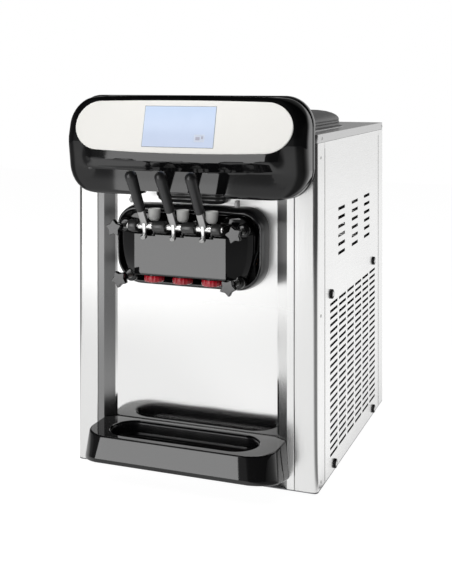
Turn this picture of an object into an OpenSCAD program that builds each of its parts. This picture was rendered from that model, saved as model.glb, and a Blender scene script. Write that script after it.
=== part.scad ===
// Counter-top soft serve machine with three draw levers, two mix hoppers and two freezing cylinders.
// +Z is up and the operator stands on the -Y side. The origin is on the counter, under the middle.
// Inside place() X runs from the middle, Y from the cabinet's front plane and Z from its underside.

/* [Cabinet] */
// Width of the sheet metal cabinet
cabinet_w = 540; // [520:1:560]
// Depth of the sheet metal cabinet
cabinet_d = 632; // [620:1:660]
// Height of the sheet metal cabinet
cabinet_h = 718; // [716:1:722]
// Height of the rubber feet
foot_h = 20; // [12:1:40]
// Diameter of the rubber feet
foot_d = 44; // [30:1:50]
// Thickness of the sheet metal
sheet = 1.5; // [1.2:0.1:1.8]
// Radius of the cabinet's upright edges
edge_r = 9; // [3:1:10]
// Height of the lip around the top panel
top_lip = 17; // [12:1:20]
// How far the middle of the front panel is set back
front_recess = 15; // [12:1:16]
// Height of a side vent slot
slot_h = 6; // [4:0.1:6.4]

/* [Header] */
// Height of the header's underside above the cabinet's underside
header_bottom = 589.5; // [583:0.5:591]
// Height of the header's top above the cabinet's underside
header_top = 795; // [790:1:800]
// Width of the header
header_w = 531; // [520:1:540]
// Corner radius of the header, seen from the front
header_r = 60; // [50:1:70]
// Wall of the header mouldings
header_wall = 3; // [2:0.5:4]
// Width of the face panel
face_w = 480; // [440:1:500]
// Height of the face panel along its slope
face_h = 113; // [100:1:115]
// Lean of the face panel from upright, degrees
face_tilt = 14.2; // [10:0.1:15]
// Width of the screen's glass
screen_w = 156; // [140:1:170]
// Height of the screen's glass
screen_h = 84; // [76:1:90]

/* [Dispensing head] */
// Distance between neighbouring draw levers
lever_pitch = 64; // [62:1:66]
// Distance of the lever pivot in front of the cabinet
pivot_out = 92; // [91:1:94]
// Height of the lever pivot above the cabinet's underside
pivot_up = 532; // [531:1:533]
// Diameter of the pivot pin
pin_d = 8; // [7:0.5:8]
// Diameter of the draw valves
valve_d = 24; // [22:0.5:24]
// Distance of the draw valves in front of the cabinet
valve_out = 50; // [49:0.5:51]
// Length of a lever grip
grip_len = 97; // [90:1:110]
// Lean of a lever grip from upright, degrees
grip_lean = 32; // [28:1:36]
// Outer diameter of a nozzle cap
cap_d = 42; // [40:1:46]
// Outer diameter of a star knob
knob_d = 37; // [32:1:38]

/* [Drip tray] */
// Width of the drip tray
tray_w = 432; // [424:2:436]
// How far the drip tray stands out in front of the cabinet
tray_out = 121; // [118:1:126]
// Height of the tray's top above the cabinet's underside
tray_top = 100; // [96:1:110]
// Plan radius of the tray's front corners
tray_r = 61; // [58:1:66]
// Length of the oval pocket
pocket_w = 328; // [310:1:330]
// Width of the oval pocket
pocket_d = 100; // [94:1:102]

/* [Mix and cooling system] */
// Distance of each freezing cylinder from the middle
cylinder_x = 70; // [68:1:72]
// Height of the freezing cylinders' axes
cylinder_z = 486; // [484:1:488]
// Bore of the freezing cylinders
cylinder_bore = 88; // [84:1:90]
// Outside of the freezing cylinders with their insulation
cylinder_od = 112; // [108:1:114]
// Width of a hopper
hopper_w = 206; // [196:1:208]
// Front to back size of a hopper
hopper_d = 286; // [270:1:290]
// Distance of each hopper from the middle
hopper_x = 120; // [118:1:122]
// Height of the lids above the cabinet's top
lid_h = 41; // [36:1:46]
// Diameter of the pulley on the gearbox
big_pulley_d = 150; // [120:1:160]
// Diameter of the pulley on the motor
small_pulley_d = 60; // [50:1:70]
// Diameter of the condenser fan
fan_d = 220; // [200:2:226]

/* [Hidden] */
$fn = 64;
half_w = cabinet_w / 2;
half_inner = half_w - sheet;
rear_y = cabinet_d;
gland_out = 12;
// arm of a lever, from its pivot to the foot of its grip
arm_lean = 33;
arm_len = 41.5;
grip_top_r = 12;
lever_reach = pivot_out + arm_len * sin(arm_lean) + (grip_len - grip_top_r) * sin(grip_lean) + grip_top_r;
front_y = lever_reach - (lever_reach + cabinet_d + gland_out) / 2;
lip_bottom = cabinet_h - top_lip;
panel_top = lip_bottom - 0.5;
floor_t = 2;
column_w = 47.5;
column_return = 59;
flange_x = half_w - column_w - 0.5;
bevel_out_x = flange_x - 15;
bevel_in_x = bevel_out_x - 25;
rear_return = 56;
lever_xs = [-lever_pitch, 0, lever_pitch];
sides = [-1, 1];
// running clearance on the diameter of pins and shafts
running = 0.1;

// header
shell_back = -14;
lower_face_y = -60;
face_foot_y = -76.5;
face_foot_z = 677;
face_mid_z = 732.5;
face_t = 2.5;
notch_roof_z = 599;
notch_half_top = 93;
notch_half_base = 115;

// dispensing head
block_top = 530;
block_bottom = 425;
block_face = -69;
block_shoulder_y = -48;
block_half = 147;
face_half = 99;
sleeve_half = 16;
sleeve_d = 13;
barrel_d = 24;
barrel_half = 13.5;
finger_len = 44.7;
finger_drop = 20;
groove_z = pivot_up - finger_len * sin(finger_drop);
groove_half = 5.5;
spigot_d = 36;
stud_d = 10;
spacer_d = 14;
stud_points = [[-130.5, 525.5], [130.5, 525.5], [-118.5, 422], [118.5, 422]];
knob_front = -108;
knob_t = 14;
hub_back = -79;
ring_bottom = 399.5;
ring_top = 562.5;
ring_half = 163.5;
ring_front = -32;
ring_t = 6;
lug_front = -52;
lug_d = 29;
passage_z = 438;

// drip tray
tray_wall = 3;
tray_y = -47;
pan_gap = 1.5;
tray_low = 22;
tray_front_low = 48;
tray_face_low = 61;
tray_face_top = -110.5;

// mix and cooling system
cylinder_len = 320;
shaft_d = 20;
hopper_y = 240;
hopper_floor = 560;
feed_y = 130;
feed_boss_top = 552;
gearbox_front = 335;
gearbox_back = 395;
pulley_y0 = 400;
pulley_y1 = 420;
motor_z = 190;
fan_y = 310;
fan_z = 190;

// ---- helpers ----

module place() translate([0, front_y, foot_h]) children();

module box(x0, x1, y0, y1, z0, z1) translate([x0, y0, z0]) cube([x1 - x0, y1 - y0, z1 - z0]);

module rod_x(x0, x1, y, z, d) translate([x0, y, z]) rotate([0, 90, 0]) cylinder(h = x1 - x0, d = d);

module rod_y(y0, y1, x, z, d) translate([x, y1, z]) rotate([90, 0, 0]) cylinder(h = y1 - y0, d = d);

module rod_z(z0, z1, x, y, d) translate([x, y, z0]) cylinder(h = z1 - z0, d = d);

// an outline seen from the front (x, z), given its depth from y0 to y1
module upright(y0, y1) translate([0, y1, 0]) rotate([90, 0, 0]) linear_extrude(y1 - y0) children();

// an outline seen from the side (y, z), given its width from x0 to x1
module across(x0, x1) translate([x0, 0, 0]) rotate([90, 0, 90]) linear_extrude(x1 - x0) children();

module both_sides() {
    children();
    mirror([1, 0, 0]) children();
}

module rounded_rect(w, h, r) {
    square([w - 2 * r, h], center = true);
    square([w, h - 2 * r], center = true);
    for (i = sides, j = sides) translate([i * (w / 2 - r), j * (h / 2 - r)]) circle(r);
}

// a star outline with its points rounded off to flats
module star(points, outer_r, inner_r) {
    step = 180 / points;
    polygon([for (i = [0 : 2 * points - 1])
        let (r = i % 2 == 0 ? outer_r : inner_r, a = 90 + i * step)
        for (turn = [-0.22, 0.22]) [r * cos(a + turn * step), r * sin(a + turn * step)]]);
}

// ---- cabinet ----

module base_pan() color("silver") place() {
    difference() {
        translate([0, cabinet_d / 2, 0]) linear_extrude(floor_t) rounded_rect(cabinet_w, cabinet_d, edge_r);
        for (p = foot_points()) rod_z(-1, floor_t + 1, p[0], p[1], 10);
    }
    both_sides() box(half_inner - 3.5, half_inner - 2, 70, 560, floor_t, 27);
    box(-200, 200, 600, 601.5, floor_t, 27);
}

function foot_points() = [for (i = sides, y = [90, cabinet_d - 90]) [i * (half_w - 65), y]];

module rubber_feet() color("dimgray") place() for (p = foot_points()) {
    rod_z(-foot_h, -4, p[0], p[1], foot_d - 4);
    rod_z(-4, 0, p[0], p[1], foot_d);
    rod_z(0, floor_t + 4, p[0], p[1], 9.6);
}

module frame_posts() color("gray") place() {
    post_in = half_w - 32;
    post_out = half_w - 7;
    both_sides() {
        for (y = [62, 540]) difference() {
            box(post_in, post_out, y, y + 25, floor_t, cabinet_h - sheet - 0.2);
            y_open = y < 300 ? y + 2 : y - 1;
            box(post_in - 1, post_out - 2, y_open, y_open + 24, 0, cabinet_h + 1);
        }
        for (z = [428, cabinet_h - sheet - 25]) box(post_out - 2, post_out, 87, 540, z, z + 24.8);
        for (y = [345, 378]) box(0, post_out - 2, y, y + 10, 428, 438);
    }
    box(-post_in, post_in, 563, 565, 690, 714);
}

// the slots of one side panel as (y, z) outlines
module vent_slots() {
    for (column = [0 : 5], row = [0 : 22])
        translate([101.5 + 74.4 * column, 38 + 14.35 * row]) square([61, slot_h]);
    for (column = [0 : 2], row = [0 : 5])
        translate([169 + 123 * column, 450 + 19.2 * row]) square([59, 7]);
}

module side_panel() place() {
    difference() {
        across(half_inner, half_w) difference() {
            translate([column_return + 0.5, floor_t])
                square([rear_y - rear_return - column_return - 1, panel_top - floor_t]);
            vent_slots();
        }
    }
    for (y = [column_return + 0.5, rear_y - rear_return - 2])
        box(half_inner - 12, half_inner, y, y + sheet, floor_t, panel_top);
}

module left_side_panel() color("gainsboro") mirror([1, 0, 0]) side_panel();

module right_side_panel() color("gainsboro") side_panel();

// plan of a sheet metal wrap around one upright edge, from x0 to the side and y0 to y1
module corner_wrap(x0, y1) {
    difference() {
        union() {
            translate([x0, 0]) square([half_w - edge_r - x0, sheet]);
            translate([half_inner, edge_r]) square([sheet, y1 - edge_r]);
            intersection() {
                translate([half_w - edge_r, edge_r]) circle(edge_r);
                translate([half_w - edge_r, 0]) square(edge_r);
            }
        }
        translate([half_w - edge_r, edge_r]) circle(edge_r - sheet);
    }
}

module front_column() place() translate([0, 0, floor_t]) linear_extrude(panel_top - floor_t) {
    corner_wrap(half_w - column_w, column_return);
    translate([half_w - column_w, sheet]) square([sheet, 12]);
    translate([half_inner - 14, column_return - sheet]) square([14, sheet]);
}

module left_front_column() color("lightgray") mirror([1, 0, 0]) front_column();

module right_front_column() color("lightgray") front_column();

module front_panel() color("whitesmoke") place() {
    difference() {
        translate([0, 0, floor_t]) linear_extrude(panel_top - floor_t) both_sides() polygon([
            [0, front_recess], [bevel_in_x, front_recess], [bevel_out_x, 0], [flange_x, 0],
            [flange_x, sheet], [bevel_out_x + 0.6, sheet], [bevel_in_x + 0.6, front_recess + sheet],
            [0, front_recess + sheet]]);
        upright(front_recess - 1, front_recess + sheet + 1)
            translate([0, 487]) rounded_rect(302, 144, 20);
    }
    // tongues that carry the drip tray
    both_sides() box(164, 176, -60, front_recess, 70, 76);
}

module rear_panel() color("silver") place() difference() {
    translate([0, rear_y, floor_t]) mirror([0, 1, 0]) linear_extrude(panel_top - floor_t)
        both_sides() corner_wrap(0, rear_return);
    for (i = sides, row = [0 : 13])
        box(i * 120 - 80, i * 120 + 80, rear_y - 10, rear_y + 1, 120 + 30 * row, 127 + 30 * row);
    rod_y(rear_y - 10, rear_y + 1, -200, 60, 16);
}

module top_panel() color("lightgray") place() {
    difference() {
        translate([0, cabinet_d / 2, lip_bottom]) linear_extrude(top_lip)
            rounded_rect(cabinet_w, cabinet_d, edge_r);
        translate([0, cabinet_d / 2, lip_bottom - 1]) linear_extrude(top_lip + 1 - sheet)
            rounded_rect(cabinet_w - 2 * sheet, cabinet_d - 2 * sheet, edge_r - sheet);
        both_sides() translate([hopper_x, hopper_y, cabinet_h - 5]) linear_extrude(10)
            rounded_rect(hopper_w + 1, hopper_d + 1, 18);
    }
}

module panel_screws() color("darkgray") place() both_sides() {
    for (p = [[40, 708], [620, 708], [109, 379], [513, 380], [136, 14], [511, 14]])
        rod_x(half_w, half_w + 1.4, p[0], p[1], 9);
    for (p = [[30, 670], [30, 350], [30, 14]]) rod_x(half_w, half_w + 1.4, p[0], p[1], 7);
    for (z = [30, 350, 660]) rod_y(rear_y, rear_y + 1.4, 225, z, 8);
}

module cable_gland() color("black") place() difference() {
    union() {
        rod_y(rear_y - 14, rear_y, -200, 60, 15.6);
        rod_y(rear_y, rear_y + 4, -200, 60, 25);
        rod_y(rear_y + 4, rear_y + gland_out, -200, 60, 19);
    }
    rod_y(rear_y - 15, rear_y + gland_out + 1, -200, 60, 9);
}

// ---- header ----

function face_y(z) = face_foot_y + (z - face_foot_z) * tan(face_tilt);

module header_outline(inset) translate([0, (header_top + header_bottom) / 2])
    rounded_rect(header_w - 2 * inset, header_top - header_bottom - 2 * inset, header_r - inset);

// side outline of the header, moved inwards by inset
module header_profile(inset) {
    slope_in = inset / cos(face_tilt);
    polygon([
        [shell_back + (inset > 0 ? 1 : 0), header_bottom + inset],
        [lower_face_y + 3 + inset, header_bottom + inset],
        [lower_face_y + inset, header_bottom + 5 + inset],
        [lower_face_y + inset, 660 + inset],
        [face_y(666) + 2.5 + slope_in, 666 + inset],
        [face_y(670 + inset) + slope_in, 670 + inset],
        [face_y(header_top - 4 - inset) + slope_in, header_top - 4 - inset],
        [face_y(header_top) + 5 + inset, header_top - inset],
        [shell_back + (inset > 0 ? 1 : 0), header_top - inset]]);
}

module lever_notch(y0, y1) upright(y0, y1) polygon([
    [-notch_half_base, header_bottom - 2], [-notch_half_top, notch_roof_z],
    [notch_half_top, notch_roof_z], [notch_half_base, header_bottom - 2]]);

// the frame of the sloping face: x across, y into the header, z up the slope
module on_face() translate([0, face_y(face_mid_z), face_mid_z]) rotate([-face_tilt, 0, 0]) children();

module header_shell() color("#161616") place() difference() {
    intersection() {
        upright(-90, shell_back) header_outline(0);
        across(-half_w, half_w) header_profile(0);
    }
    intersection() {
        upright(-90, shell_back + 1) header_outline(header_wall);
        across(-half_w, half_w) header_profile(header_wall);
    }
    lever_notch(-90, 1);
    on_face() upright(-10, 10) square([screen_w + 6, screen_h + 6], center = true);
}

module header_back_cover() color("#1d1d1d") place() difference() {
    upright(shell_back + 0.3, 0) header_outline(-1);
    upright(shell_back, -header_wall) header_outline(header_wall - 1);
    lever_notch(-90, 1);
}

module header_face_panel() color("ivory") place() on_face() difference() {
    upright(-face_t, 0) rounded_rect(face_w, face_h, face_h / 2 - 1);
    upright(-face_t - 1, 1) square([screen_w + 0.6, screen_h + 0.6], center = true);
}

module touch_screen() color("lightsteelblue") place() on_face() {
    upright(-face_t, 0) square([screen_w, screen_h], center = true);
    upright(0, 12) square([screen_w + 5, screen_h + 5], center = true);
}

module control_board() color("darkgreen") place() on_face() {
    upright(20, 22) square([150, 76], center = true);
    both_sides() box(40, 62, 12, 20, -30, -10);
    for (x = [-50, -10, 30]) box(x, x + 18, 22, 27, -12, 8);
    for (x = [-60, 45]) box(x, x + 12, 22, 30, 16, 30);
}

// ---- dispensing head ----

module switch_housing() color("#333333") place() upright(-25, front_recess) intersection() {
    translate([0, 594]) rounded_rect(164, 40, 19);
    translate([-90, 570]) square([180, 28]);
}

module surround_outline(inset) translate([0, (ring_top + ring_bottom) / 2])
    rounded_rect(2 * (ring_half - inset), ring_top - ring_bottom - 2 * inset, 38 - inset * 0.7);

module head_surround() color("#202020") place() {
    difference() {
        upright(ring_front, front_recess) surround_outline(0);
        upright(ring_front - 1, front_recess + 1) surround_outline(ring_t);
    }
    // closes the gap around the way through to the cylinders
    upright(front_recess - 3, front_recess) difference() {
        surround_outline(1);
        translate([0, 484]) rounded_rect(298, 138, 18);
    }
}

// seen from the front: shoulders rounded at the top, ends drawn in towards the bottom
module block_outline() {
    polygon([[-block_half, 500], [-block_half, 515], [-121, 549], [121, 549], [block_half, 515],
        [block_half, 500], [130, block_bottom], [-130, block_bottom]]);
    both_sides() translate([121, 525]) circle(24);
}

module block_plan() polygon([[-block_half, -2], [-block_half, -38], [-block_half + 6, block_shoulder_y],
    [-face_half - 6, block_face + 2], [-face_half + 4, block_face], [face_half - 4, block_face],
    [face_half + 6, block_face + 2], [block_half - 6, block_shoulder_y], [block_half, -38], [block_half, -2]]);

module dispensing_block() color("#141414") place() difference() {
    union() {
        intersection() {
            union() {
                upright(-30, -2) block_outline();
                upright(block_face, -29) intersection() {
                    block_outline();
                    translate([-150, 400]) square([300, block_top - 400]);
                }
            }
            translate([0, 0, 400]) linear_extrude(200) block_plan();
            // the front face slopes back above the levers' forks
            across(-160, 160) polygon([[block_face, 400], [block_face, 511], [-50, block_top], [-30, block_top],
                [-30, 600], [0, 600], [0, 400]]);
        }
        // bearings of the pivot pin
        for (x = [-lever_pitch / 2, lever_pitch / 2]) pin_bearing(x - barrel_half, x + barrel_half);
        both_sides() pin_bearing(lever_pitch + 18.5, face_half + 1);
        for (x = lever_xs) rod_z(415, block_bottom + 5, x, -valve_out, spigot_d);
        // lugs of the four clamping studs
        for (p = stud_points) rod_y(lug_front, -20, p[0], p[1], lug_d);
    }
    for (x = lever_xs) {
        rod_z(400, block_top + 60, x, -valve_out, valve_d);
        box(x - 10.5, x + 10.5, block_face - 1, -valve_out + 10, 508, block_top + 30);
        box(x - 15, x + 15, block_face - 1, -31, block_top, block_top + 30);
    }
    rod_x(-120, 120, -pivot_out, pivot_up, pin_d + running);
    // mix passages from the cylinders to the valves
    for (x = [-lever_pitch, lever_pitch]) {
        box(x - 8, x + 8, -valve_out, 0, passage_z - 6, passage_z + 7);
        box(x - 8, x + 8, -14, 0, passage_z - 6, passage_z + 32);
    }
    box(-6, 6, -valve_out, -16, passage_z - 6, passage_z + 7);
    box(-50, 50, -26, -14, passage_z - 6, passage_z + 7);
    both_sides() box(32, 50, -26, 0, passage_z - 6, passage_z + 32);
    for (p = stud_points) {
        rod_y(-80, 0, p[0], p[1], stud_d + 1);
        rod_y(-80, lug_front, p[0], p[1], spacer_d + 0.8);
    }
}

module pin_bearing(x0, x1) {
    rod_x(x0, x1, -pivot_out, pivot_up, barrel_d);
    box(x0, x1, -pivot_out, -45, 521, block_top);
}

module pivot_pin() color("lightgray") place() {
    rod_x(-face_half - 2, face_half + 2, -pivot_out, pivot_up, pin_d);
    both_sides() rod_x(face_half + 2, face_half + 5, -pivot_out, pivot_up, 13);
}

// the frame of one lever's pivot
module at_pivot(x) place() translate([x, -pivot_out, pivot_up]) children();

module lever_arm(x) color("silver") at_pivot(x) difference() {
    union() {
        rod_x(-sleeve_half, sleeve_half, 0, 0, sleeve_d);
        rotate([arm_lean, 0, 0]) box(-7.5, 7.5, -4, 4, 0, arm_len);
        // fork that lifts the draw valve
        for (i = sides) rotate([-finger_drop, 0, 0]) {
            box(i * 7.7 - 1.5, i * 7.7 + 1.5, 0, finger_len, -2.5, 2.5);
            rod_x(i * 7.7 - 1.5, i * 7.7 + 1.5, finger_len, 0, 10);
        }
        translate([0, -arm_len * sin(arm_lean), arm_len * cos(arm_lean)])
            rotate([grip_lean, 0, 0]) rod_z(-3, 30, 0, 0, 6);
        // stop foot
        rotate([-20, 0, 0]) {
            box(-4, 4, -4, 4, -20, 0);
            box(-6, 6, -7, 3, -24, -15);
        }
    }
    rod_x(-sleeve_half - 1, sleeve_half + 1, 0, 0, pin_d + running);
}

module lever_grip(x) color("#1a1a1a") at_pivot(x)
    translate([0, -arm_len * sin(arm_lean), arm_len * cos(arm_lean)])
        rotate([grip_lean, 0, 0]) rotate_extrude() {
            polygon([[3.1, 1.2], [8, 1.2], [9, 4], [grip_top_r, grip_len - grip_top_r],
                [0, grip_len - grip_top_r], [0, 32], [3.1, 32]]);
            intersection() {
                translate([0, grip_len - grip_top_r]) circle(grip_top_r);
                translate([0, grip_len - grip_top_r]) square(grip_top_r);
            }
        }

module draw_valve(x) color("gainsboro") place() {
    translate([x, -valve_out, 0]) {
        land_r = (valve_d - running) / 2;
        rotate_extrude() polygon([
            [0, 418], [land_r, 418], [land_r, groove_z - groove_half - 6],
            [9, groove_z - groove_half - 6], [9, groove_z - groove_half],
            [4.5, groove_z - groove_half], [4.5, groove_z + groove_half],
            [9, groove_z + groove_half], [9, groove_z + groove_half + 6],
            [4.5, groove_z + groove_half + 6], [4.5, 538],
            [8, 538.5], [11, 541], [12.6, 546], [13, 562], [0, 562]]);
    }
}

module nozzle_cap(x) color("#c8102e") place() difference() {
    rod_z(411, block_bottom - 0.5, x, -valve_out, cap_d);
    rod_z(414, block_bottom + 1, x, -valve_out, spigot_d + 0.6);
    translate([x, -valve_out, 400]) linear_extrude(20) star(6, 11, 6);
}

module head_studs() color("lightgray") place() for (p = stud_points) {
    rod_y(knob_front + 10, -1.5, p[0], p[1], stud_d);
    rod_y(hub_back + 0.5, lug_front, p[0], p[1], spacer_d);
}

module star_knob(p) color("#222222") place() difference() {
    union() {
        translate([p[0], 0, p[1]]) upright(knob_front, knob_front + knob_t)
            star(5, knob_d / 2, knob_d / 2 * 0.66);
        rod_y(knob_front + knob_t - 1, hub_back, p[0], p[1], 21);
    }
    rod_y(knob_front + 9, hub_back + 1, p[0], p[1], stud_d + running);
}

// ---- mix and freezing ----

module freezing_cylinder(x) color("gainsboro") place() difference() {
    union() {
        rod_y(-1.5, cylinder_len, x, cylinder_z, cylinder_od);
        box(x - 69.5, x + 69.5, -1.5, 6.5, 412, 549);
        rod_z(cylinder_z + 40, feed_boss_top, x, feed_y, 40);
        box(x - 9, x + 9, 240, 258, 420, 440);
    }
    rod_y(-2.5, cylinder_len - 6, x, cylinder_z, cylinder_bore);
    rod_y(0, cylinder_len + 1, x, cylinder_z, shaft_d + running);
    rod_z(cylinder_z, feed_boss_top + 1, x, feed_y, 24);
}

module beater(x) color("white") place() {
    rod_y(6, gearbox_front - 0.5, x, cylinder_z, shaft_d);
    for (i = sides) box(x - 1.5, x + 1.5, 10, 306, min(i * 34, i * 43) + cylinder_z, max(i * 34, i * 43) + cylinder_z);
    for (y = [20, 90, 160, 230, 300]) box(x - 4, x + 4, y - 4, y + 4, cylinder_z - 38, cylinder_z + 38);
    for (y = [55, 125, 195, 265]) box(x - 38, x + 38, y - 5, y + 5, cylinder_z - 4, cylinder_z + 4);
}

module gearbox() color("slategray") place() {
    box(-105, 105, gearbox_front, gearbox_back, 438, 534);
    box(-40, 40, gearbox_front + 5, gearbox_back, 534, 552);
    both_sides() box(105, 122, gearbox_front + 5, gearbox_back - 5, 438, 446);
}

module gearbox_pulley() color("dimgray") place() difference() {
    union() {
        rod_y(pulley_y0, pulley_y1, 0, cylinder_z, big_pulley_d);
        rod_y(gearbox_back + 0.5, pulley_y1 + 8, 0, cylinder_z, 26);
    }
    for (a = [0 : 60 : 300]) translate([45 * cos(a), 0, 45 * sin(a)])
        rod_y(pulley_y0 - 1, pulley_y1 + 1, 0, cylinder_z, 30);
}

module beater_motor() color("#3b4a5a") place() {
    rod_y(180, 385, 0, motor_z, 130);
    for (a = [0 : 15 : 345]) translate([0, 0, motor_z]) rotate([0, a, 0])
        box(-1.5, 1.5, 200, 360, 60, 70);
    for (y = [205, 345]) box(-55, 55, y, y + 10, floor_t, motor_z - 20);
    box(-55, 55, 205, 355, floor_t, floor_t + 6);
}

module motor_pulley() color("dimgray") place() {
    rod_y(pulley_y0, pulley_y1, 0, motor_z, small_pulley_d);
    rod_y(385.5, pulley_y1 + 6, 0, motor_z, 16);
}

// an open belt's outline around both pulleys, grown by t
module belt_outline(t) {
    span = cylinder_z - motor_z;
    big_r = big_pulley_d / 2 + t;
    small_r = small_pulley_d / 2 + t;
    rise = (big_r - small_r) / span;
    run = sqrt(1 - rise * rise);
    translate([0, cylinder_z]) circle(big_r);
    translate([0, motor_z]) circle(small_r);
    polygon([
        [big_r * run, cylinder_z - big_r * rise], [small_r * run, motor_z - small_r * rise],
        [-small_r * run, motor_z - small_r * rise], [-big_r * run, cylinder_z - big_r * rise]]);
}

module drive_belt() color("#111111") place() difference() {
    upright(pulley_y0 + 2, pulley_y1 - 2) belt_outline(7);
    upright(pulley_y0, pulley_y1) belt_outline(0.4);
}

module compressor() color("black") place() {
    translate([-165, 440, floor_t]) {
        cylinder(h = 8, d = 130);
        rotate_extrude() polygon([[0, 8], [60, 8], [80, 30], [80, 190], [70, 220], [45, 238], [0, 246]]);
    }
    for (a = [45 : 90 : 315]) rod_z(floor_t, floor_t + 6, -165 + 80 * cos(a), 440 + 80 * sin(a), 26);
    rod_z(230, 250, -165, 450, 14);
    rod_z(230, 248, -185, 440, 17);
}

module condenser() color("goldenrod") place() {
    for (i = [0 : 20]) box(197, 247, 122 + 18 * i, 124 + 18 * i, 8, 336);
    for (z = [8, 90, 172, 254, 330]) box(199, 245, 122, 484, z, z + 6);
    for (y = [116, 484]) box(195, 250, y, y + 6, floor_t, 342);
    box(210, 230, 440, 460, 330, 345);
}

module condenser_fan() color("#2b2b2b") place() translate([0, fan_y, fan_z]) {
    rod_x(168, 192, 0, 0, 60);
    for (a = [0 : 72 : 288]) rotate([a, 0, 0]) translate([180, 0, 0]) rotate([0, 0, 22])
        box(-2, 2, -26, 26, 25, fan_d / 2 - 4);
}

module fan_shroud() color("dimgray") place() {
    difference() {
        box(166, 194, fan_y - 135, fan_y + 135, 50, 330);
        rod_x(165, 195, fan_y, fan_z, fan_d + 6);
    }
    for (y = [fan_y - 70, fan_y + 60]) box(160, 166, y, y + 10, 50, 330);
    rod_x(118, 167.5, fan_y, fan_z, 74);
    for (y = [fan_y - 70, fan_y + 60]) box(160, 166, min(y, fan_y), max(y + 10, fan_y), fan_z - 5, fan_z + 5);
    both_sides_of_fan() box(170, 190, 0, 30, floor_t, 50);
}

module both_sides_of_fan() for (y = [fan_y - 120, fan_y + 90]) translate([0, y, 0]) children();

// a run of copper tube through a list of points
module pipe_run(points, d) for (i = [0 : len(points) - 2]) {
    a = points[i];
    b = points[i + 1];
    v = b - a;
    translate(a) rotate([0, acos(v[2] / norm(v)), atan2(v[1], v[0])]) cylinder(h = norm(v), d = d);
    if (i > 0) translate(a) sphere(d = d);
}

module refrigerant_pipes() color("#b87333") place() {
    pipe_run([[220, 450, 345], [220, 450, 375], [-165, 450, 375], [-165, 450, 250]], 9);
    pipe_run([[-cylinder_x, 249, 420], [-cylinder_x, 249, 405], [cylinder_x, 249, 405],
        [cylinder_x, 249, 420]], 9);
    pipe_run([[-20, 249, 405], [-20, 249, 395], [-185, 249, 395], [-185, 440, 395], [-185, 440, 248]], 12);
}

module hopper(x) color("silver") place() translate([x, hopper_y, 0]) difference() {
    union() {
        translate([0, 0, hopper_floor]) linear_extrude(cabinet_h - hopper_floor + 1)
            rounded_rect(hopper_w, hopper_d, 18);
        translate([0, 0, cabinet_h]) linear_extrude(2) rounded_rect(hopper_w + 18, hopper_d + 18, 24);
        translate([(cylinder_x - hopper_x) * sign(x), feed_y - hopper_y, feed_boss_top])
            cylinder(h = hopper_floor - feed_boss_top + 1, d = 32);
    }
    translate([0, 0, hopper_floor + sheet]) linear_extrude(200)
        rounded_rect(hopper_w - 2 * sheet, hopper_d - 2 * sheet, 18 - sheet);
    translate([(cylinder_x - hopper_x) * sign(x), feed_y - hopper_y, 500]) cylinder(h = 100, d = 24);
}

module lid_step(w_less, z0, z1, r) translate([0, 0, z0]) linear_extrude(z1 - z0)
    rounded_rect(hopper_w + 18 - w_less, hopper_d + 18 - w_less, r);

module hopper_lid(x) color("lightgray") place() translate([x, hopper_y, cabinet_h]) {
    difference() {
        union() {
            lid_step(0, 2.3, 8, 24);
            lid_step(12, 7.9, lid_h - 9, 20);
            lid_step(26, lid_h - 9.1, lid_h, 16);
        }
        lid_step(40, 2, lid_h - 2.5, 14);
    }
    both_sides() box(38, 46, -6, 6, lid_h - 0.1, lid_h + 16);
    rod_x(-46, 46, 0, lid_h + 16, 14);
}

module mix_tube(x) color("whitesmoke") place() translate([x, feed_y, 0]) difference() {
    union() {
        rod_z(feed_boss_top + 2, 690, 0, 0, 20);
        rod_z(hopper_floor + sheet + 0.4, hopper_floor + sheet + 6, 0, 0, 34);
        rod_z(684, 690, 0, 0, 28);
    }
    rod_z(540, 700, 0, 0, 13);
    rod_y(-20, 0, 0, 572, 7);
}

// ---- drip tray ----

module tray_outline(inset) {
    half = tray_w / 2;
    both_sides() translate([half - tray_r, tray_r - tray_out]) intersection() {
        circle(tray_r - inset);
        translate([-1, -tray_r]) square([tray_r + 1, tray_r + 0.5]);
    }
    translate([tray_r - half, inset - tray_out]) square([tray_w - 2 * tray_r, tray_out - inset - 1]);
    translate([inset - half, tray_r - tray_out]) square([tray_w - 2 * inset, tray_out - tray_r - 0.6 - inset]);
    polygon([
        [-bevel_out_x + 2 + inset, -0.6 - inset * 1.2], [-bevel_in_x + 1 + inset, front_recess - 0.8 - inset],
        [bevel_in_x - 1 - inset, front_recess - 0.8 - inset], [bevel_out_x - 2 - inset, -0.6 - inset * 1.2]]);
}

// the tray's body: upright sides, and a front that leans back above its lower edge
module tray_body(inset, low) intersection() {
    translate([0, 0, low]) linear_extrude(tray_top - inset - low) tray_outline(inset);
    across(-half_w, half_w) polygon([
        [inset - tray_out, low - 1], [inset - tray_out, tray_face_low - inset],
        [tray_face_top + inset, tray_top + 1 - inset], [front_recess + 1, tray_top + 1 - inset],
        [front_recess + 1, low - 1]]);
}

module pocket_outline(grow) translate([0, tray_y])
    rounded_rect(pocket_w + 2 * grow, pocket_d + 2 * grow, pocket_d / 2 + grow - 0.5);

module drip_tray() color("#121212") place() difference() {
    union() {
        difference() {
            tray_body(0, tray_low);
            tray_body(tray_wall, tray_low - 1);
        }
        translate([0, 0, tray_top - 14]) linear_extrude(14 - tray_wall + 0.1) pocket_outline(2.5);
    }
    translate([0, 0, tray_top - 30]) linear_extrude(31) pocket_outline(-4);
    translate([0, 0, tray_top - 8]) linear_extrude(10) pocket_outline(0);
    // the underside rises towards the front
    across(-half_w, half_w) polygon([
        [-tray_out - 1, tray_low - 2], [-tray_out - 1, tray_front_low], [-tray_out + 10, tray_front_low],
        [front_recess + 1, tray_low]]);
    both_sides() box(160, 180, 5, front_recess, 66, 80);
}

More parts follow.
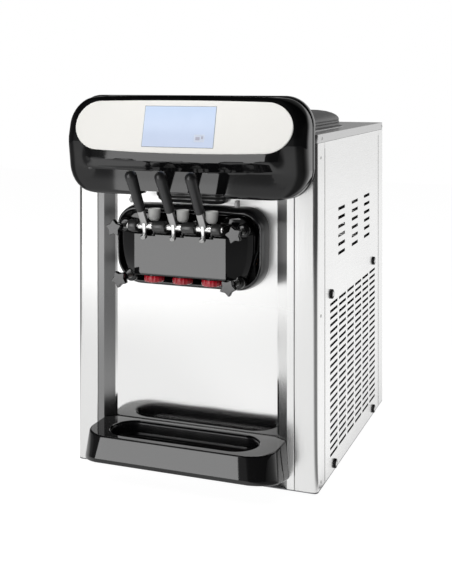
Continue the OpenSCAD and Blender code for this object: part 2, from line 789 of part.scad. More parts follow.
module drip_pan() color("#1c1c1c") place() difference() {
    union() {
        translate([0, 0, tray_top - 34]) linear_extrude(30) pocket_outline(-4 - pan_gap);
        translate([0, 0, tray_top - 7.7]) linear_extrude(4.7) pocket_outline(-pan_gap);
    }
    translate([0, 0, tray_top - 32]) linear_extrude(40) pocket_outline(-4 - pan_gap - 2);
}

// ---- assembly ----

base_pan();
rubber_feet();
frame_posts();
left_side_panel();
right_side_panel();
rear_panel();
top_panel();
front_panel();
left_front_column();
right_front_column();
header_shell();
header_back_cover();
header_face_panel();
touch_screen();
control_board();
switch_housing();
head_surround();
dispensing_block();
pivot_pin();
for (i = [0 : 2]) {
    lever_arm(lever_xs[i]);
    lever_grip(lever_xs[i]);
    draw_valve(lever_xs[i]);
    nozzle_cap(lever_xs[i]);
}
for (i = [0 : 3])
    star_knob(stud_points[i]);
head_studs();
freezing_cylinder(-cylinder_x);  // freezing_cylinder_left
freezing_cylinder(cylinder_x);  // freezing_cylinder_right
beater(-cylinder_x);  // beater_left
beater(cylinder_x);  // beater_right
gearbox();
gearbox_pulley();
beater_motor();
motor_pulley();
drive_belt();
compressor();
condenser();
condenser_fan();
fan_shroud();
refrigerant_pipes();
hopper(-hopper_x);  // hopper_left
hopper(hopper_x);  // hopper_right
hopper_lid(-hopper_x);  // hopper_lid_left
hopper_lid(hopper_x);  // hopper_lid_right
mix_tube(-cylinder_x);  // mix_tube_left
mix_tube(cylinder_x);  // mix_tube_right
drip_tray();
drip_pan();
panel_screws();
cable_gland();
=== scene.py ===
"""Looks of the counter-top soft serve machine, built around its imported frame. World lengths are metres.

Shapes are written in millimetres from the cabinet: x from the middle, y from the front plane, z from the underside.
"""
from math import asin, atan, cos, hypot, pi, radians, sin, sqrt, tan

import bmesh
import bpy
from mathutils import Matrix, Vector

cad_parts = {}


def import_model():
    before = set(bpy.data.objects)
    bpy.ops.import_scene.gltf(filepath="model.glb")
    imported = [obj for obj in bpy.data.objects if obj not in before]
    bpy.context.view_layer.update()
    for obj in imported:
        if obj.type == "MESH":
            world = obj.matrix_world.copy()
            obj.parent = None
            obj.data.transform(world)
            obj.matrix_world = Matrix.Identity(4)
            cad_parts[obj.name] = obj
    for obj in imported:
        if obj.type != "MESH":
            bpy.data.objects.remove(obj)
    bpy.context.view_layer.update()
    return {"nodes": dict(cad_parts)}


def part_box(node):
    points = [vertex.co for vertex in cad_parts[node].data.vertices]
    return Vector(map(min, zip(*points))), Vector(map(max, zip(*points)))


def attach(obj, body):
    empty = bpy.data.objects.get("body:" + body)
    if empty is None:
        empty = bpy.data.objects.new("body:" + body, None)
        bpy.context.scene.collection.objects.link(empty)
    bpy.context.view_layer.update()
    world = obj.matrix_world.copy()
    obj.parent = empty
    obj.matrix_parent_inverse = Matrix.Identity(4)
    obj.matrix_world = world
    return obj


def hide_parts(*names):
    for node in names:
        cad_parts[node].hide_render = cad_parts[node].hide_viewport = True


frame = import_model()

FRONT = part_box("right_front_column")[0].y
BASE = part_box("base_pan")[0].z
SIDES = (-1, 1)
LEVER_X = [1000 * (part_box(f"lever_grip_{i}")[0].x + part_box(f"lever_grip_{i}")[1].x) / 2 for i in (1, 2, 3)]
VALVE_Y = -50
PIVOT_Y, PIVOT_Z = -92, 532
STUDS = [(-130.5, 525.5), (130.5, 525.5), (-118.5, 422), (118.5, 422)]
TOP = 718
HOPPER_X, HOPPER_Y = 120, 240


def at(x, y, z):
    """A point given in the cabinet's millimetres, in world metres."""
    return Vector((x / 1000, FRONT + y / 1000, BASE + z / 1000))


# ---------------- materials


def add_node(tree, kind, inputs=None, **settings):
    """A shader node. Its inputs, by name or place, are values or other nodes' outputs."""
    node = tree.nodes.new("ShaderNode" + kind)
    for key, value in settings.items():
        setattr(node, key, value)
    for key, value in (inputs or {}).items():
        if isinstance(value, bpy.types.NodeSocket):
            tree.links.new(value, node.inputs[key])
        else:
            node.inputs[key].default_value = value
    return node


def calculate(tree, kind, *values):
    """The result of a math node."""
    return add_node(tree, "Math", dict(enumerate(values)), operation=kind).outputs["Value"]


def axes(tree, vector):
    return add_node(tree, "SeparateXYZ", {"Vector": vector}).outputs


def even(shade, blue=1):
    """A colour as it is, or a grey from one number."""
    return (shade, shade, shade * blue) if isinstance(shade, (int, float)) else shade


def ramp(tree, source, stops):
    """A colour ramp through (place, colour) stops."""
    node = add_node(tree, "ValToRGB", {"Fac": source})
    elements = node.color_ramp.elements
    for element, (place, shade) in zip(elements, (stops[0], stops[-1])):
        element.position, element.color = place, (*even(shade), 1)
    for place, shade in stops[1:-1]:
        elements.new(place).color = (*even(shade), 1)
    return node.outputs["Color"]


class Shader:
    """A Principled material whose inputs can be driven by procedural textures."""

    def __init__(self, name, **values):
        self.material = bpy.data.materials.new(name)
        self.material.use_nodes = True
        self.tree = self.material.node_tree
        self.main = self.tree.nodes["Principled BSDF"]
        self.position = add_node(self.tree, "TexCoord").outputs["Object"]
        for key, value in values.items():
            self.main.inputs[key.replace("_", " ")].default_value = value

    def link(self, source, key):
        self.tree.links.new(source, self.main.inputs[key])

    def noise(self, scale, detail=3, stretch=(1, 1, 1), rough=0.5):
        mapped = add_node(self.tree, "Mapping", {"Vector": self.position, "Scale": stretch}).outputs["Vector"]
        inputs = {"Vector": mapped, "Scale": scale, "Detail": detail, "Roughness": rough}
        return add_node(self.tree, "TexNoise", inputs).outputs["Fac"]

    def span(self, source, low, high, start=0.3, end=0.7):
        """Maps start to end onto low to high, and holds the ends."""
        inputs = {"Value": source, "From Min": start, "From Max": end, "To Min": low, "To Max": high}
        return add_node(self.tree, "MapRange", inputs).outputs["Result"]

    def colour(self, source, low, high):
        self.link(ramp(self.tree, source, [(0.3, low), (0.7, high)]), "Base Color")

    def roughness(self, source, low, high):
        self.link(self.span(source, low, high), "Roughness")

    def bump(self, source, strength, depth):
        node = add_node(self.tree, "Bump", {"Height": source, "Strength": strength, "Distance": depth})
        self.link(node.outputs["Normal"], "Normal")


FINE_SCRATCH, LONG_SCRATCH = 260, 3


def brushed(name, shade, rough, along, grain=1):
    """Brushed stainless sheet whose scratches run along one axis."""
    stretch = [FINE_SCRATCH] * 3
    stretch[along] = LONG_SCRATCH
    s = Shader(name, Metallic=1)
    scratches = s.noise(4, 4, stretch, 0.6)
    s.colour(s.noise(3, 2), [c * 0.965 for c in shade], shade)
    s.roughness(scratches, rough * 0.82, rough * 1.2)
    s.bump(scratches, 0.055 * grain, 0.00006)
    return s.material


def front_steel():
    """The recessed front panel, wiped nearly to a mirror low down, with a dull bevel at each side. The left bevel's
    base colour is painted dark: a painted reflection, not the steel's colour.
    """
    s = Shader("front_steel", Metallic=1, Anisotropic=0.6)
    s.link(add_node(s.tree, "Tangent", direction_type="RADIAL", axis="Z").outputs["Tangent"], "Tangent")
    scratches = s.noise(4, 4, (LONG_SCRATCH, FINE_SCRATCH, FINE_SCRATCH), 0.6)
    place = axes(s.tree, s.position)
    flat_end, bevel_start = 0.1845, 0.187
    # on the left bevel the mask below is 0, so the ramp's first stop, 0.24, paints it dark as a painted reflection;
    # elsewhere the clouds are random tone
    outside_painted_bevel_shade = s.span(place["X"], 0, 1, -bevel_start, -flat_end)
    clouds = calculate(s.tree, "MULTIPLY", s.noise(3, 2), outside_painted_bevel_shade)
    shades = [(0, 0.24), (0.28, (0.8, 0.8, 0.795)), (0.75, (0.83, 0.83, 0.825))]
    s.link(ramp(s.tree, clouds, shades), "Base Color")
    wiped = s.span(place["Z"], 0.09, 0.27, at(0, 0, 190).z, at(0, 0, 380).z)
    scratched = calculate(s.tree, "MULTIPLY_ADD", scratches, 0.04, wiped)
    bevel = s.span(calculate(s.tree, "ABSOLUTE", place["X"]), 0, 0.18, flat_end, bevel_start)
    dull = calculate(s.tree, "ADD", bevel, 0.09)
    s.link(calculate(s.tree, "MAXIMUM", scratched, dull), "Roughness")
    s.bump(scratches, 0.03, 0.00006)
    return s.material


def plastic(name, low, high, rough, grain, bump, clouds=(14, 3), depth=0.00015, **values):
    """Moulded plastic with a fine texture, and colour and gloss that vary between low and high in clouds."""
    s = Shader(name, **values)
    uneven = s.noise(*clouds)
    s.colour(uneven, low, high)
    s.roughness(uneven, rough * 0.85, rough * 1.15)
    s.bump(s.noise(grain), bump, depth)
    return s.material


def metal(name, low, high, rough, grain, bump):
    """Cast, turned or plated metal, a little warm where its shades are single numbers."""
    return plastic(name, even(low, 0.99), even(high, 0.99), rough, grain, bump, (25, 2), 0.0001, Metallic=1)


# name, shade, roughness, axis of the scratches, grain
SIDE_STEEL = brushed("side_steel", (0.82, 0.82, 0.815), 0.28, 1, 0.4)
FRONT_STEEL = front_steel()
COLUMN_STEEL = brushed("column_steel", (0.765, 0.765, 0.76), 0.22, 2)
# the top panel's darker base colour is painted shade standing for its dark reflections
TOP_STEEL_PAINTED_SHADE = brushed("top_steel_painted_shade", (0.54, 0.54, 0.54), 0.28, 0)
# the lids' near-black base colour is a painted dark reflection, not the steel's own colour
LID_STEEL_PAINTED_SHADE = brushed("lid_steel", (0.1, 0.1, 0.1), 0.4, 0)
# the hoppers' darker base colour is painted shade, so they look dim inside the cabinet through the side slots
HOPPER_STEEL_PAINTED_SHADE = brushed("hopper_steel_painted_shade", (0.5, 0.5, 0.5), 0.3, 2)
# name, low and high shades, roughness, scale of the texture, depth of the texture
GLOSS_BLACK = plastic("gloss_black", (0.006, 0.006, 0.0065), (0.008, 0.008, 0.0085), 0.05, 60, 0.004, IOR=1.5)
SATIN_BLACK = plastic("satin_black", (0.011, 0.011, 0.012), (0.016, 0.016, 0.017), 0.34, 700, 0.05)
KNOB_BLACK = plastic("knob_black", (0.008, 0.008, 0.009), (0.011, 0.011, 0.012), 0.14, 500, 0.02, IOR=1.5)
PAN_BLACK = plastic("pan_black", (0.007, 0.007, 0.008), (0.01, 0.01, 0.011), 0.22, 400, 0.03)
CREAM = plastic("cream_face", (0.905, 0.893, 0.857), (0.915, 0.903, 0.867), 0.34, 500, 0.015)
VALVE_WHITE = plastic("valve_plastic", (0.62, 0.62, 0.605), (0.69, 0.69, 0.675), 0.3, 400, 0.03)
RED = plastic("cap_red", (0.3, 0.002, 0.01), (0.42, 0.005, 0.018), 0.16, 200, 0.02, Coat_Weight=0.8)
RUBBER = plastic("foot_rubber", 0.01, 0.018, 0.72, 500, 0.25)
BELT = plastic("belt_rubber", 0.012, 0.02, 0.6, 400, 0.3)
BOARD = plastic("board_green", (0.008, 0.075, 0.025), (0.02, 0.12, 0.04), 0.35, 300, 0.1)
CHROME = metal("chrome", 0.78, 0.86, 0.07, 300, 0.01)
SLEEVE_CHROME = metal("sleeve_chrome", 0.88, 0.94, 0.24, 300, 0.01)
SCREW_STEEL = metal("screw_steel", 0.62, 0.72, 0.22, 300, 0.02)
CLIP_GREY = plastic("clip_grey", 0.42, 0.48, 0.3, 300, 0.02)
SATIN_METAL = metal("satin_metal", 0.36, 0.44, 0.34, 600, 0.06)
BARREL_BLACK = plastic("barrel_black", 0.034, 0.04, 0.3, 400, 0.02)
# the studs' dark base colour is a painted dark reflection, darker than the steel's own
STUD_STEEL_PAINTED_SHADE = metal("stud_steel_painted_shade", 0.16, 0.22, 0.3, 600, 0.04)
SURROUND_BLACK = plastic("surround_black", (0.007, 0.007, 0.0075), (0.01, 0.01, 0.011), 0.16, 80, 0.006)
POD_BLACK = plastic("pod_black", 0.02, 0.026, 0.2, 300, 0.01)
CAST = metal("cast_housing", (0.22, 0.23, 0.25), (0.3, 0.31, 0.33), 0.5, 300, 0.3)
ZINC = metal("zinc_sheet", (0.2, 0.2, 0.21), (0.28, 0.28, 0.29), 0.5, 40, 0.05)
# near-black fins: painted shade for the dark inside of the cabinet behind the side slots
FINS_PAINTED_SHADE = metal("fin_painted_shade", 0.03, 0.05, 0.45, 300, 0.1)
# dark strips for the side panels' joints: painted shadow in the gaps
PAINTED_SEAM_SHADOW = plastic("seam_shadow", 0.05, 0.07, 0.7, 300, 0.1)
INSULATION = plastic("foam_insulation", 0.012, 0.03, 0.8, 120, 0.5)
COPPER = metal("copper_tube", (0.6, 0.26, 0.13), (0.74, 0.36, 0.2), 0.28, 100, 0.06)
MOTOR_PAINT = plastic("dark_enamel", (0.012, 0.016, 0.022), (0.02, 0.026, 0.034), 0.35, 200, 0.12)


def display_material():
    """A lit display: pale blue, lighter towards the bottom, behind clear glass."""
    s = Shader("display", Roughness=0.08, Specular_IOR_Level=0.4, Emission_Strength=0.72)
    rise = s.span(axes(s.tree, s.position)["Z"], 0, 1, at(0, 0, 690).z, at(0, 0, 775).z)
    s.link(ramp(s.tree, rise, [(0, (0.66, 0.74, 0.93)), (1, (0.56, 0.7, 0.93))]), "Emission Color")
    s.colour(s.noise(30), (0.1, 0.12, 0.16), (0.12, 0.14, 0.18))
    return s.material


DISPLAY = display_material()
ICON_WHITE = plastic("icon_white", (0.6, 0.66, 0.8), (0.66, 0.72, 0.84), 0.3, 200, 0.01)
ICON_GREY = plastic("icon_grey", (0.4, 0.4, 0.5), (0.46, 0.46, 0.56), 0.3, 200, 0.01)
SCREEN_EDGE = plastic("screen_edge", (0.16, 0.19, 0.23), (0.19, 0.22, 0.26), 0.25, 200, 0.01)


# ---------------- mesh helpers


def finish_mesh(name, builder, material, body="cabinet", sharp=35, replaces=(), flat=False):
    """Turns a bmesh into a smooth shaded piece that rides on a body."""
    bmesh.ops.remove_doubles(builder, verts=builder.verts, dist=1e-6)
    bmesh.ops.recalc_face_normals(builder, faces=builder.faces)
    piece = place_mesh(name, builder)
    smooth(piece.data, sharp)
    piece.data.materials.append(material)
    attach(piece, body)
    if replaces:
        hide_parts(*replaces)
    if flat:
        flatten(piece)
    return piece


def place_mesh(name, builder):
    """Turns a bmesh into an object of the scene."""
    mesh = bpy.data.meshes.new(name)
    builder.to_mesh(mesh)
    builder.free()
    piece = bpy.data.objects.new(name, mesh)
    bpy.context.scene.collection.objects.link(piece)
    return piece


def smooth(mesh, sharp):
    """Shades a mesh smooth, apart from edges sharper than an angle in degrees."""
    mesh.shade_smooth()
    mesh.set_sharp_from_angle(angle=radians(sharp))


def flatten(piece):
    """Keeps the shading of a piece's flat faces flat beside its rounded edges."""
    normals = piece.modifiers.new("normals", "WEIGHTED_NORMAL")
    normals.keep_sharp = True
    normals.weight = 80


def add_rows(builder, rows, close_u=False, close_v=False, caps=False):
    """Joins rows of points with quads. close_u joins a row's ends, close_v joins the last row to the first."""
    made = [[builder.verts.new(p) for p in row] for row in rows]
    count = len(made[0])
    pairs = list(zip(made, made[1:])) + ([(made[-1], made[0])] if close_v else [])
    for lower, upper in pairs:
        for i in range(count if close_u else count - 1):
            j = (i + 1) % count
            builder.faces.new((lower[i], lower[j], upper[j], upper[i]))
    if caps:
        builder.faces.new(made[0])
        builder.faces.new(made[-1])
    return made


def fillet(points, steps=6):
    """A closed outline through (x, y, radius) corners, each rounded by an arc of the given number of steps."""
    outline = []
    for i, (x, y, radius) in enumerate(points):
        here = Vector((x, y))
        before = (Vector(points[i - 1][:2]) - here).normalized()
        after = (Vector(points[(i + 1) % len(points)][:2]) - here).normalized()
        if radius <= 0:
            outline.append(tuple(here))
            continue
        half = before.angle(after) / 2
        centre = here + (before + after).normalized() * radius / sin(half)
        start = here + before * radius / tan(half) - centre
        end = here + after * radius / tan(half) - centre
        turn = start.angle_signed(end)
        for k in range(steps + 1):
            outline.append(tuple(centre + Matrix.Rotation(-turn * k / steps, 2) @ start))
    return outline


def rounded_box_outline(half_x, half_y, radius, steps=6):
    corners = [(-half_x, -half_y), (half_x, -half_y), (half_x, half_y), (-half_x, half_y)]
    return fillet([(x, y, max(radius, 0.01)) for x, y in corners], steps)


def polar(radii):
    """A closed outline of points at even angles, one for each radius."""
    angles = [2 * pi * k / len(radii) for k in range(len(radii))]
    return [(r * cos(a), r * sin(a)) for r, a in zip(radii, angles)]


def quarter(steps):
    """Angles from 0 to a quarter turn."""
    return [pi / 2 * k / steps for k in range(steps + 1)]


def layered(builder, layers, place, caps=True, close_v=False):
    """Stacks outlines: layers are (outline, height) pairs with equal point counts, in millimetres."""
    rows = [[place @ (Vector((x, y, h)) / 1000) for x, y in outline] for outline, h in layers]
    add_rows(builder, rows, close_u=True, close_v=close_v, caps=caps and not close_v)


def turned(builder, profile, place, sides, caps=True):
    """Revolves (radius, along) points about place's z axis; radius 0 closes an end."""
    layered(builder, [(polar([max(radius, 1e-5)] * sides), along) for radius, along in profile], place, caps)


def facing(point, direction):
    """A frame at a point whose z axis looks along a direction."""
    return Matrix.Translation(point) @ Vector(direction).to_track_quat("Z", "Y").to_matrix().to_4x4()


def upright_frame(x, y):
    """A frame at a place on the cabinet's underside whose z axis is up."""
    return Matrix.Translation(at(x, y, 0))


def front_frame(x=0, y=0, z=0):
    """A frame whose x is across, y is up and z looks towards the operator."""
    return Matrix.Translation(at(x, y, z)) @ Matrix.Rotation(radians(90), 4, "X")


def grown(outline, amount):
    """An outline moved outwards by an amount along its corner normals."""
    moved, count = [], len(outline)
    for i, (x, y) in enumerate(outline):
        ax, ay = outline[i - 1]
        bx, by = outline[(i + 1) % count]
        k = 1
        while hypot(x - ax, y - ay) < 1e-6 and k < count:
            k += 1
            ax, ay = outline[i - k]
        k = 1
        while hypot(bx - x, by - y) < 1e-6 and k < count:
            k += 1
            bx, by = outline[(i + k) % count]
        u = Vector((x - ax, y - ay)).normalized()
        v = Vector((bx - x, by - y)).normalized()
        normal = Vector((u.y + v.y, -u.x - v.x))
        normal = normal.normalized() if normal.length > 1e-9 else Vector((u.y, -u.x))
        scale = amount / max(0.35, normal.dot(Vector((u.y, -u.x))))
        moved.append((x + normal.x * scale, y + normal.y * scale))
    return moved


def slab(builder, outline, low, high, edge, place):
    """A solid outline from low to high with its edges rounded by edge."""
    layers = [(grown(outline, -edge * (1 - sin(a))), low + edge * (1 - cos(a))) for a in quarter(3)]
    layers += [(grown(outline, -edge * (1 - cos(a))), high - edge * (1 - sin(a))) for a in quarter(3)]
    layered(builder, layers, place)


def bar(builder, start, end, width, height, edge=0.8):
    """A rounded bar between two points in cabinet millimetres; width is along x."""
    a, b = at(*start), at(*end)
    along = (b - a).normalized()
    across = Vector((1, 0, 0))
    up = along.cross(across)
    place = Matrix.Translation(a) @ Matrix((across, up, along)).transposed().to_4x4()
    slab(builder, rounded_box_outline(width / 2, height / 2, min(width, height) * 0.25, 3), 0, (b - a).length * 1000,
         edge, place)


def soften(piece, width):
    """Rounds a piece's hard edges."""
    piece.modifiers.new("weld", "WELD").merge_threshold = 1e-5
    bevel = piece.modifiers.new("bevel", "BEVEL")
    bevel.width = width
    bevel.segments = 2
    bevel.limit_method = "ANGLE"
    bevel.angle_limit = radians(38)


def dress(names, material, edge=0):
    """Gives CAD nodes, named in one string, a material, and rounds their edges where edge is more than 0."""
    for name in names.split():
        node = frame["nodes"][name]
        node.data.materials.clear()
        node.data.materials.append(material)
        if edge > 0:
            soften(node, edge)


def clamp(value):
    return min(1, max(0, value))


def smooth_step(value, start, end):
    t = clamp((value - start) / (end - start))
    return t * t * (3 - 2 * t)


# ---------------- header

HEADER_LOW, HEADER_TOP, HEADER_HALF, HEADER_R = 589.5, 795, 265.5, 60
FACE_TAN = tan(radians(14.2))
FACE_MID, FACE_HALF_H, FACE_HALF_W, FACE_R = 732.5, 55, 240, 54.5
BOW = 7
LIP_X = 200
ROUND_LOW, ROUND_TOP = 9, 8
FACE_STEPS = 28


def face_depth(x, z):
    """Where the sloping face lies, bowed a little towards the operator."""
    return -76.5 + (z - 677) * FACE_TAN - BOW * (1 - (x / 250) ** 2)


def header_half_width(z):
    for edge, away in ((HEADER_LOW + HEADER_R, -1), (HEADER_TOP - HEADER_R, 1)):
        over = (z - edge) * away
        if over > 0:
            return HEADER_HALF - HEADER_R + sqrt(max(0, HEADER_R**2 - min(over, HEADER_R) ** 2))
    return HEADER_HALF


def header_depth(x, z):
    """The front surface of the header moulding."""
    face = face_depth(x, z)
    lower = -60 - BOW * 0.6 * (1 - (x / 268) ** 2)
    corner = face if z >= 706 else lower + (face_depth(x, 706) - lower) * smooth_step(z, 628, 706)
    lip_line = 662 + 4 * (x / 200) ** 2
    lip = lower + (face_depth(x, lip_line) + 1.2 - lower) * clamp((z - lip_line + 21) / 20)
    lipped = face if z >= lip_line else lip
    blend = smooth_step(abs(x), LIP_X - 4, LIP_X + 22)
    depth = lipped * (1 - blend) + corner * blend
    for radius, over in ((ROUND_LOW, HEADER_LOW + ROUND_LOW - z), (ROUND_TOP, z - HEADER_TOP + ROUND_TOP)):
        if over > 0:
            depth += radius - sqrt(max(0, radius**2 - over**2))
    return depth


def header_rows(back):
    levels = [HEADER_LOW + ROUND_LOW * (1 - cos(a)) for a in quarter(6)] + [600, 607, 615, 624, 633, 637]
    levels += [639 + 2 * k for k in range(17)]
    levels += [674, 678, 684, 692, 700, 708, 718, 728, 734, 742, 750, 758, 766, 773, 779, 784]
    levels += [HEADER_TOP - ROUND_TOP * cos(a) for a in quarter(6)]
    rows = []
    for z in sorted(levels):
        half = header_half_width(z)
        side = min(24, half / 3)
        arch_top = -1.8 * smooth_step(z, 700, 790)
        row = [(-half, back), (-half, back + (header_depth(-half, z) + side - back) * 0.5)]
        for a in quarter(8):
            x = -half + side * (1 - cos(a))
            row.append((x, header_depth(x, z) + side * (1 - sin(a))))
        inner = half - side
        row += [(-inner + 2 * inner * k / 60, header_depth(-inner + 2 * inner * k / 60, z)) for k in range(1, 60)]
        row += [(-x, y) for x, y in reversed(row[:11])]
        rows.append([at(x, y, z + arch_top * min(1, abs(x) / 200) ** 2) for x, y in row])
    return rows


def header():
    builder = bmesh.new()
    rows = header_rows(-14)
    add_rows(builder, rows)
    # the top and the underside close back to the joint with the cover
    for row in (rows[0], rows[-1]):
        count = len(row) // 2
        left = [builder.verts.new(p) for p in row[: count + 1]]
        right = [builder.verts.new(p) for p in reversed(row[count:])]
        for i in range(count):
            builder.faces.new((left[i], left[i + 1], right[i + 1], right[i]))
    shell = finish_mesh("header_moulding", builder, GLOSS_BLACK, sharp=50, replaces=["header_shell"])
    solid = shell.modifiers.new("wall", "SOLIDIFY")
    solid.thickness, solid.offset = 0.003, -1
    cut_notch(shell)
    dress("header_back_cover", GLOSS_BLACK, 0.0014)


def cut_notch(piece):
    """Cuts the gap for the draw valves out of the middle of the header's underside."""
    cutter = bmesh.new()
    outline = fillet([(-118, 570, 0.5), (118, 570, 0.5), (93, 599, 5), (-93, 599, 5)], 4)
    add_rows(cutter, [[at(x, y, z) for x, z in outline] for y in (-120, 20)], close_u=True, caps=True)
    cut(piece, cutter)


def cut(piece, builder, sharp=40):
    """Cuts the solids of a bmesh out of a piece, and applies all its modifiers."""
    bmesh.ops.recalc_face_normals(builder, faces=builder.faces)
    cutter = place_mesh("cutter", builder)
    difference = piece.modifiers.new("cut", "BOOLEAN")
    difference.operation, difference.object, difference.solver = "DIFFERENCE", cutter, "MANIFOLD"
    mesh = bpy.data.meshes.new_from_object(piece.evaluated_get(bpy.context.evaluated_depsgraph_get()))
    piece.modifiers.clear()
    piece.data = mesh
    smooth(mesh, sharp)
    bpy.data.objects.remove(cutter)


def face_outline(inset):
    """The face panel's long rounded outline, its edges gently arched, as (x, z from its middle)."""
    half_h = FACE_HALF_H - inset
    radius = max(FACE_R - inset, 0)
    straight = FACE_HALF_W - inset - radius
    lower = [(-straight + 2 * straight * k / FACE_STEPS, -half_h) for k in range(FACE_STEPS)]
    angles = [pi * k / FACE_STEPS for k in range(FACE_STEPS)]
    lower += [(straight + radius * sin(a), -half_h * cos(a)) for a in angles]
    warped = []
    for x, v in lower + [(-x, -v) for x, v in lower]:
        lift = 4.6 * (x / 200) ** 2 if v < 0 else -2.4 * (x / 190) ** 2
        warped.append((x, v + lift * min(1, abs(v) / FACE_HALF_H)))
    return warped


def on_face(x, v, out):
    """A point on the header's sloping face: x across, v up the slope from its middle, out towards the operator."""
    slope = atan(FACE_TAN)
    z = FACE_MID + v * cos(slope) + out * sin(slope)
    y = face_depth(x, FACE_MID + v * cos(slope)) - out * cos(slope)
    return at(x, y, z)


def face_panel():
    builder = bmesh.new()
    layers = [(0.4, -1), (0, 0.2), (0, 1.5), (0.35, 2.15), (1.2, 2.5)]
    layers += [(inset, 2.5) for inset in (4, 9, 16, 25, 35, 45)]
    rows = [[on_face(x, v, out) for x, v in face_outline(inset)] for inset, out in layers]
    row = add_rows(builder, rows, close_u=True)[-1]
    # the middle: quads from the lower edge to the upper, and one piece at each rounded end
    n = FACE_STEPS
    for k in range(n):
        builder.faces.new((row[k], row[k + 1], row[3 * n - 1 - k], row[3 * n - k]))
    builder.faces.new(row[n:2 * n + 1])
    builder.faces.new(row[3 * n:] + [row[0]])
    finish_mesh("face_panel", builder, CREAM, sharp=60, replaces=["header_face_panel"])


def face_patch(name, material, x0, x1, v0, v1, out, replaces=()):
    """A thin raised plate on the sloping face that follows its bow."""
    builder = bmesh.new()
    middle, half = (v0 + v1) / 2, (v1 - v0) / 2
    columns = [x0 + (x1 - x0) * k / 24 for k in range(25)]
    levels = [(-1, 0.2), (-1, out), (-0.3, out), (0.3, out), (1, out), (1, 0.2)]
    made = add_rows(builder, [[on_face(x, middle + half * share, o) for x in columns] for share, o in levels])
    for side in (0, -1):
        builder.faces.new([row[side] for row in made])
    finish_mesh(name, builder, material, sharp=30, replaces=replaces)


def screen():
    """The display in its frame, with generic pictograms of a menu: a pale tile with a tag and a dot."""
    face_patch("screen_edge", SCREEN_EDGE, -79.1, 79.1, -42.9, 42.9, 2.9, ["touch_screen"])
    face_patch("screen_display", DISPLAY, -78.2, 78.2, -42, 42, 3.1)
    face_patch("screen_icon_tile", ICON_WHITE, 36, 59, -31, -15.5, 3.25)
    face_patch("screen_icon_tag", ICON_GREY, 39.5, 48.5, -27, -20.5, 3.4)
    face_patch("screen_icon_dot", ICON_GREY, 51.5, 55.5, -24.5, -19, 3.4)


def switch_pod():
    """The ribbed bowl behind the valves that covers the lever switches."""
    def plan(half, depth, radius):
        back = 14.5
        return fillet([(-half, back, 0.5), (half, back, 0.5), (half, depth, radius), (-half, depth, radius)], 8)

    rows = [[at(x, y, 598.6) for x, y in plan(80, -21, 17)]]
    for a in quarter(30):
        shrink = cos(a)
        rib = 0.9 * cos(16 * a)
        outline = plan(60 + 20 * shrink**0.8 + rib * 0.4, 1 - 24 * shrink**0.7 - rib, 12 + 8 * shrink)
        rows.append([at(x, y, 598 - 28 * sin(a)) for x, y in outline])
    builder = bmesh.new()
    add_rows(builder, rows, close_u=True, caps=True)
    finish_mesh("switch_pod", builder, POD_BLACK, sharp=50, replaces=["switch_housing"])


def header_clips():
    """Small spring clips at the ends of the header's notch."""
    builder = bmesh.new()
    for side in SIDES:
        x = side * 116.5
        slab(builder, rounded_box_outline(3.5, 7, 1.5), 572, 585.6, 1, upright_frame(x, -44))
        turned(builder, [(0, 0), (3.2, 0), (3.6, 0.6), (3.6, 4), (0, 4)], front_frame(x, -51, 579), 20)
    finish_mesh("header_clips", builder, CLIP_GREY)


# ---------------- dispensing head


def ring_outline(inset):
    """The surround's outline: rounder at the bottom corners, sides a little bowed."""
    half_w, low, high = 164.2 - inset, 395.5 + 1.7 * inset, 565.5 - 1.7 * inset
    corners = [(-half_w + 2, low, 56 - inset), (half_w - 2, low, 56 - inset), (half_w, high, 44 - inset),
               (-half_w, high, 44 - inset)]
    spread = []
    outline = fillet(corners, 12)
    for i, here in enumerate(outline):
        a, b = Vector(here), Vector(outline[(i + 1) % len(outline)])
        pieces = 12 if (b - a).length > 40 else 1
        spread += [tuple(a.lerp(b, k / pieces)) for k in range(pieces)]
    return [(x * (1 + 0.008 * (1 - ((z - 490) / 80) ** 2)), z + 1.6 * (1 - (x / 165) ** 2) * (1 if z > 480 else -0.3))
            for x, z in spread]


def surround():
    """A deep frame on the front panel around the block, closed behind by a black plate."""
    builder = bmesh.new()
    section = [(0, -15), (0.3, 0), (1.1, 11), (2, 18.4), (2.9, 23.9), (3.7, 26), (4.8, 27), (6.2, 27.2),
               (7.2, 26.4), (7.8, 24.9), (8.1, 21.4), (8.4, 8), (8.8, -12)]
    hole = [(x * 0.915, 484 + (z - 481) * 0.87) for x, z in ring_outline(8.8)]
    layers = [(ring_outline(inset), out) for inset, out in section] + [(hole, -12), (hole, -15)]
    layered(builder, layers, front_frame(), close_v=True)
    finish_mesh("head_surround_ring", builder, SURROUND_BLACK, sharp=60, replaces=["head_surround"])


def block_half_width(z):
    """Half the block's width: rounded shoulders, and ends drawn in towards the bottom."""
    if z > 515:
        return 121 + 26 * cos(asin(min(1, (z - 515) / 34)))
    return 147 - 17 * ((515 - z) / 90) ** 3


def block_row(z, inset, back):
    """The block's plan at one height: flat pad in front, an angled facet at each end."""
    half = block_half_width(z) - inset
    front = -69 + inset + max(0, z - 511)
    pad = 100.5 - inset
    ends = [(half, back, 0), (half, -33 + inset * 0.3, 7), (half - 9, min(-46 + inset, -33), 7), (pad, front, 0)]
    corners = [(-x, y, r) for x, y, r in ends] + list(reversed(ends))
    return [at(x, y, z) for x, y in fillet(corners, 4)]


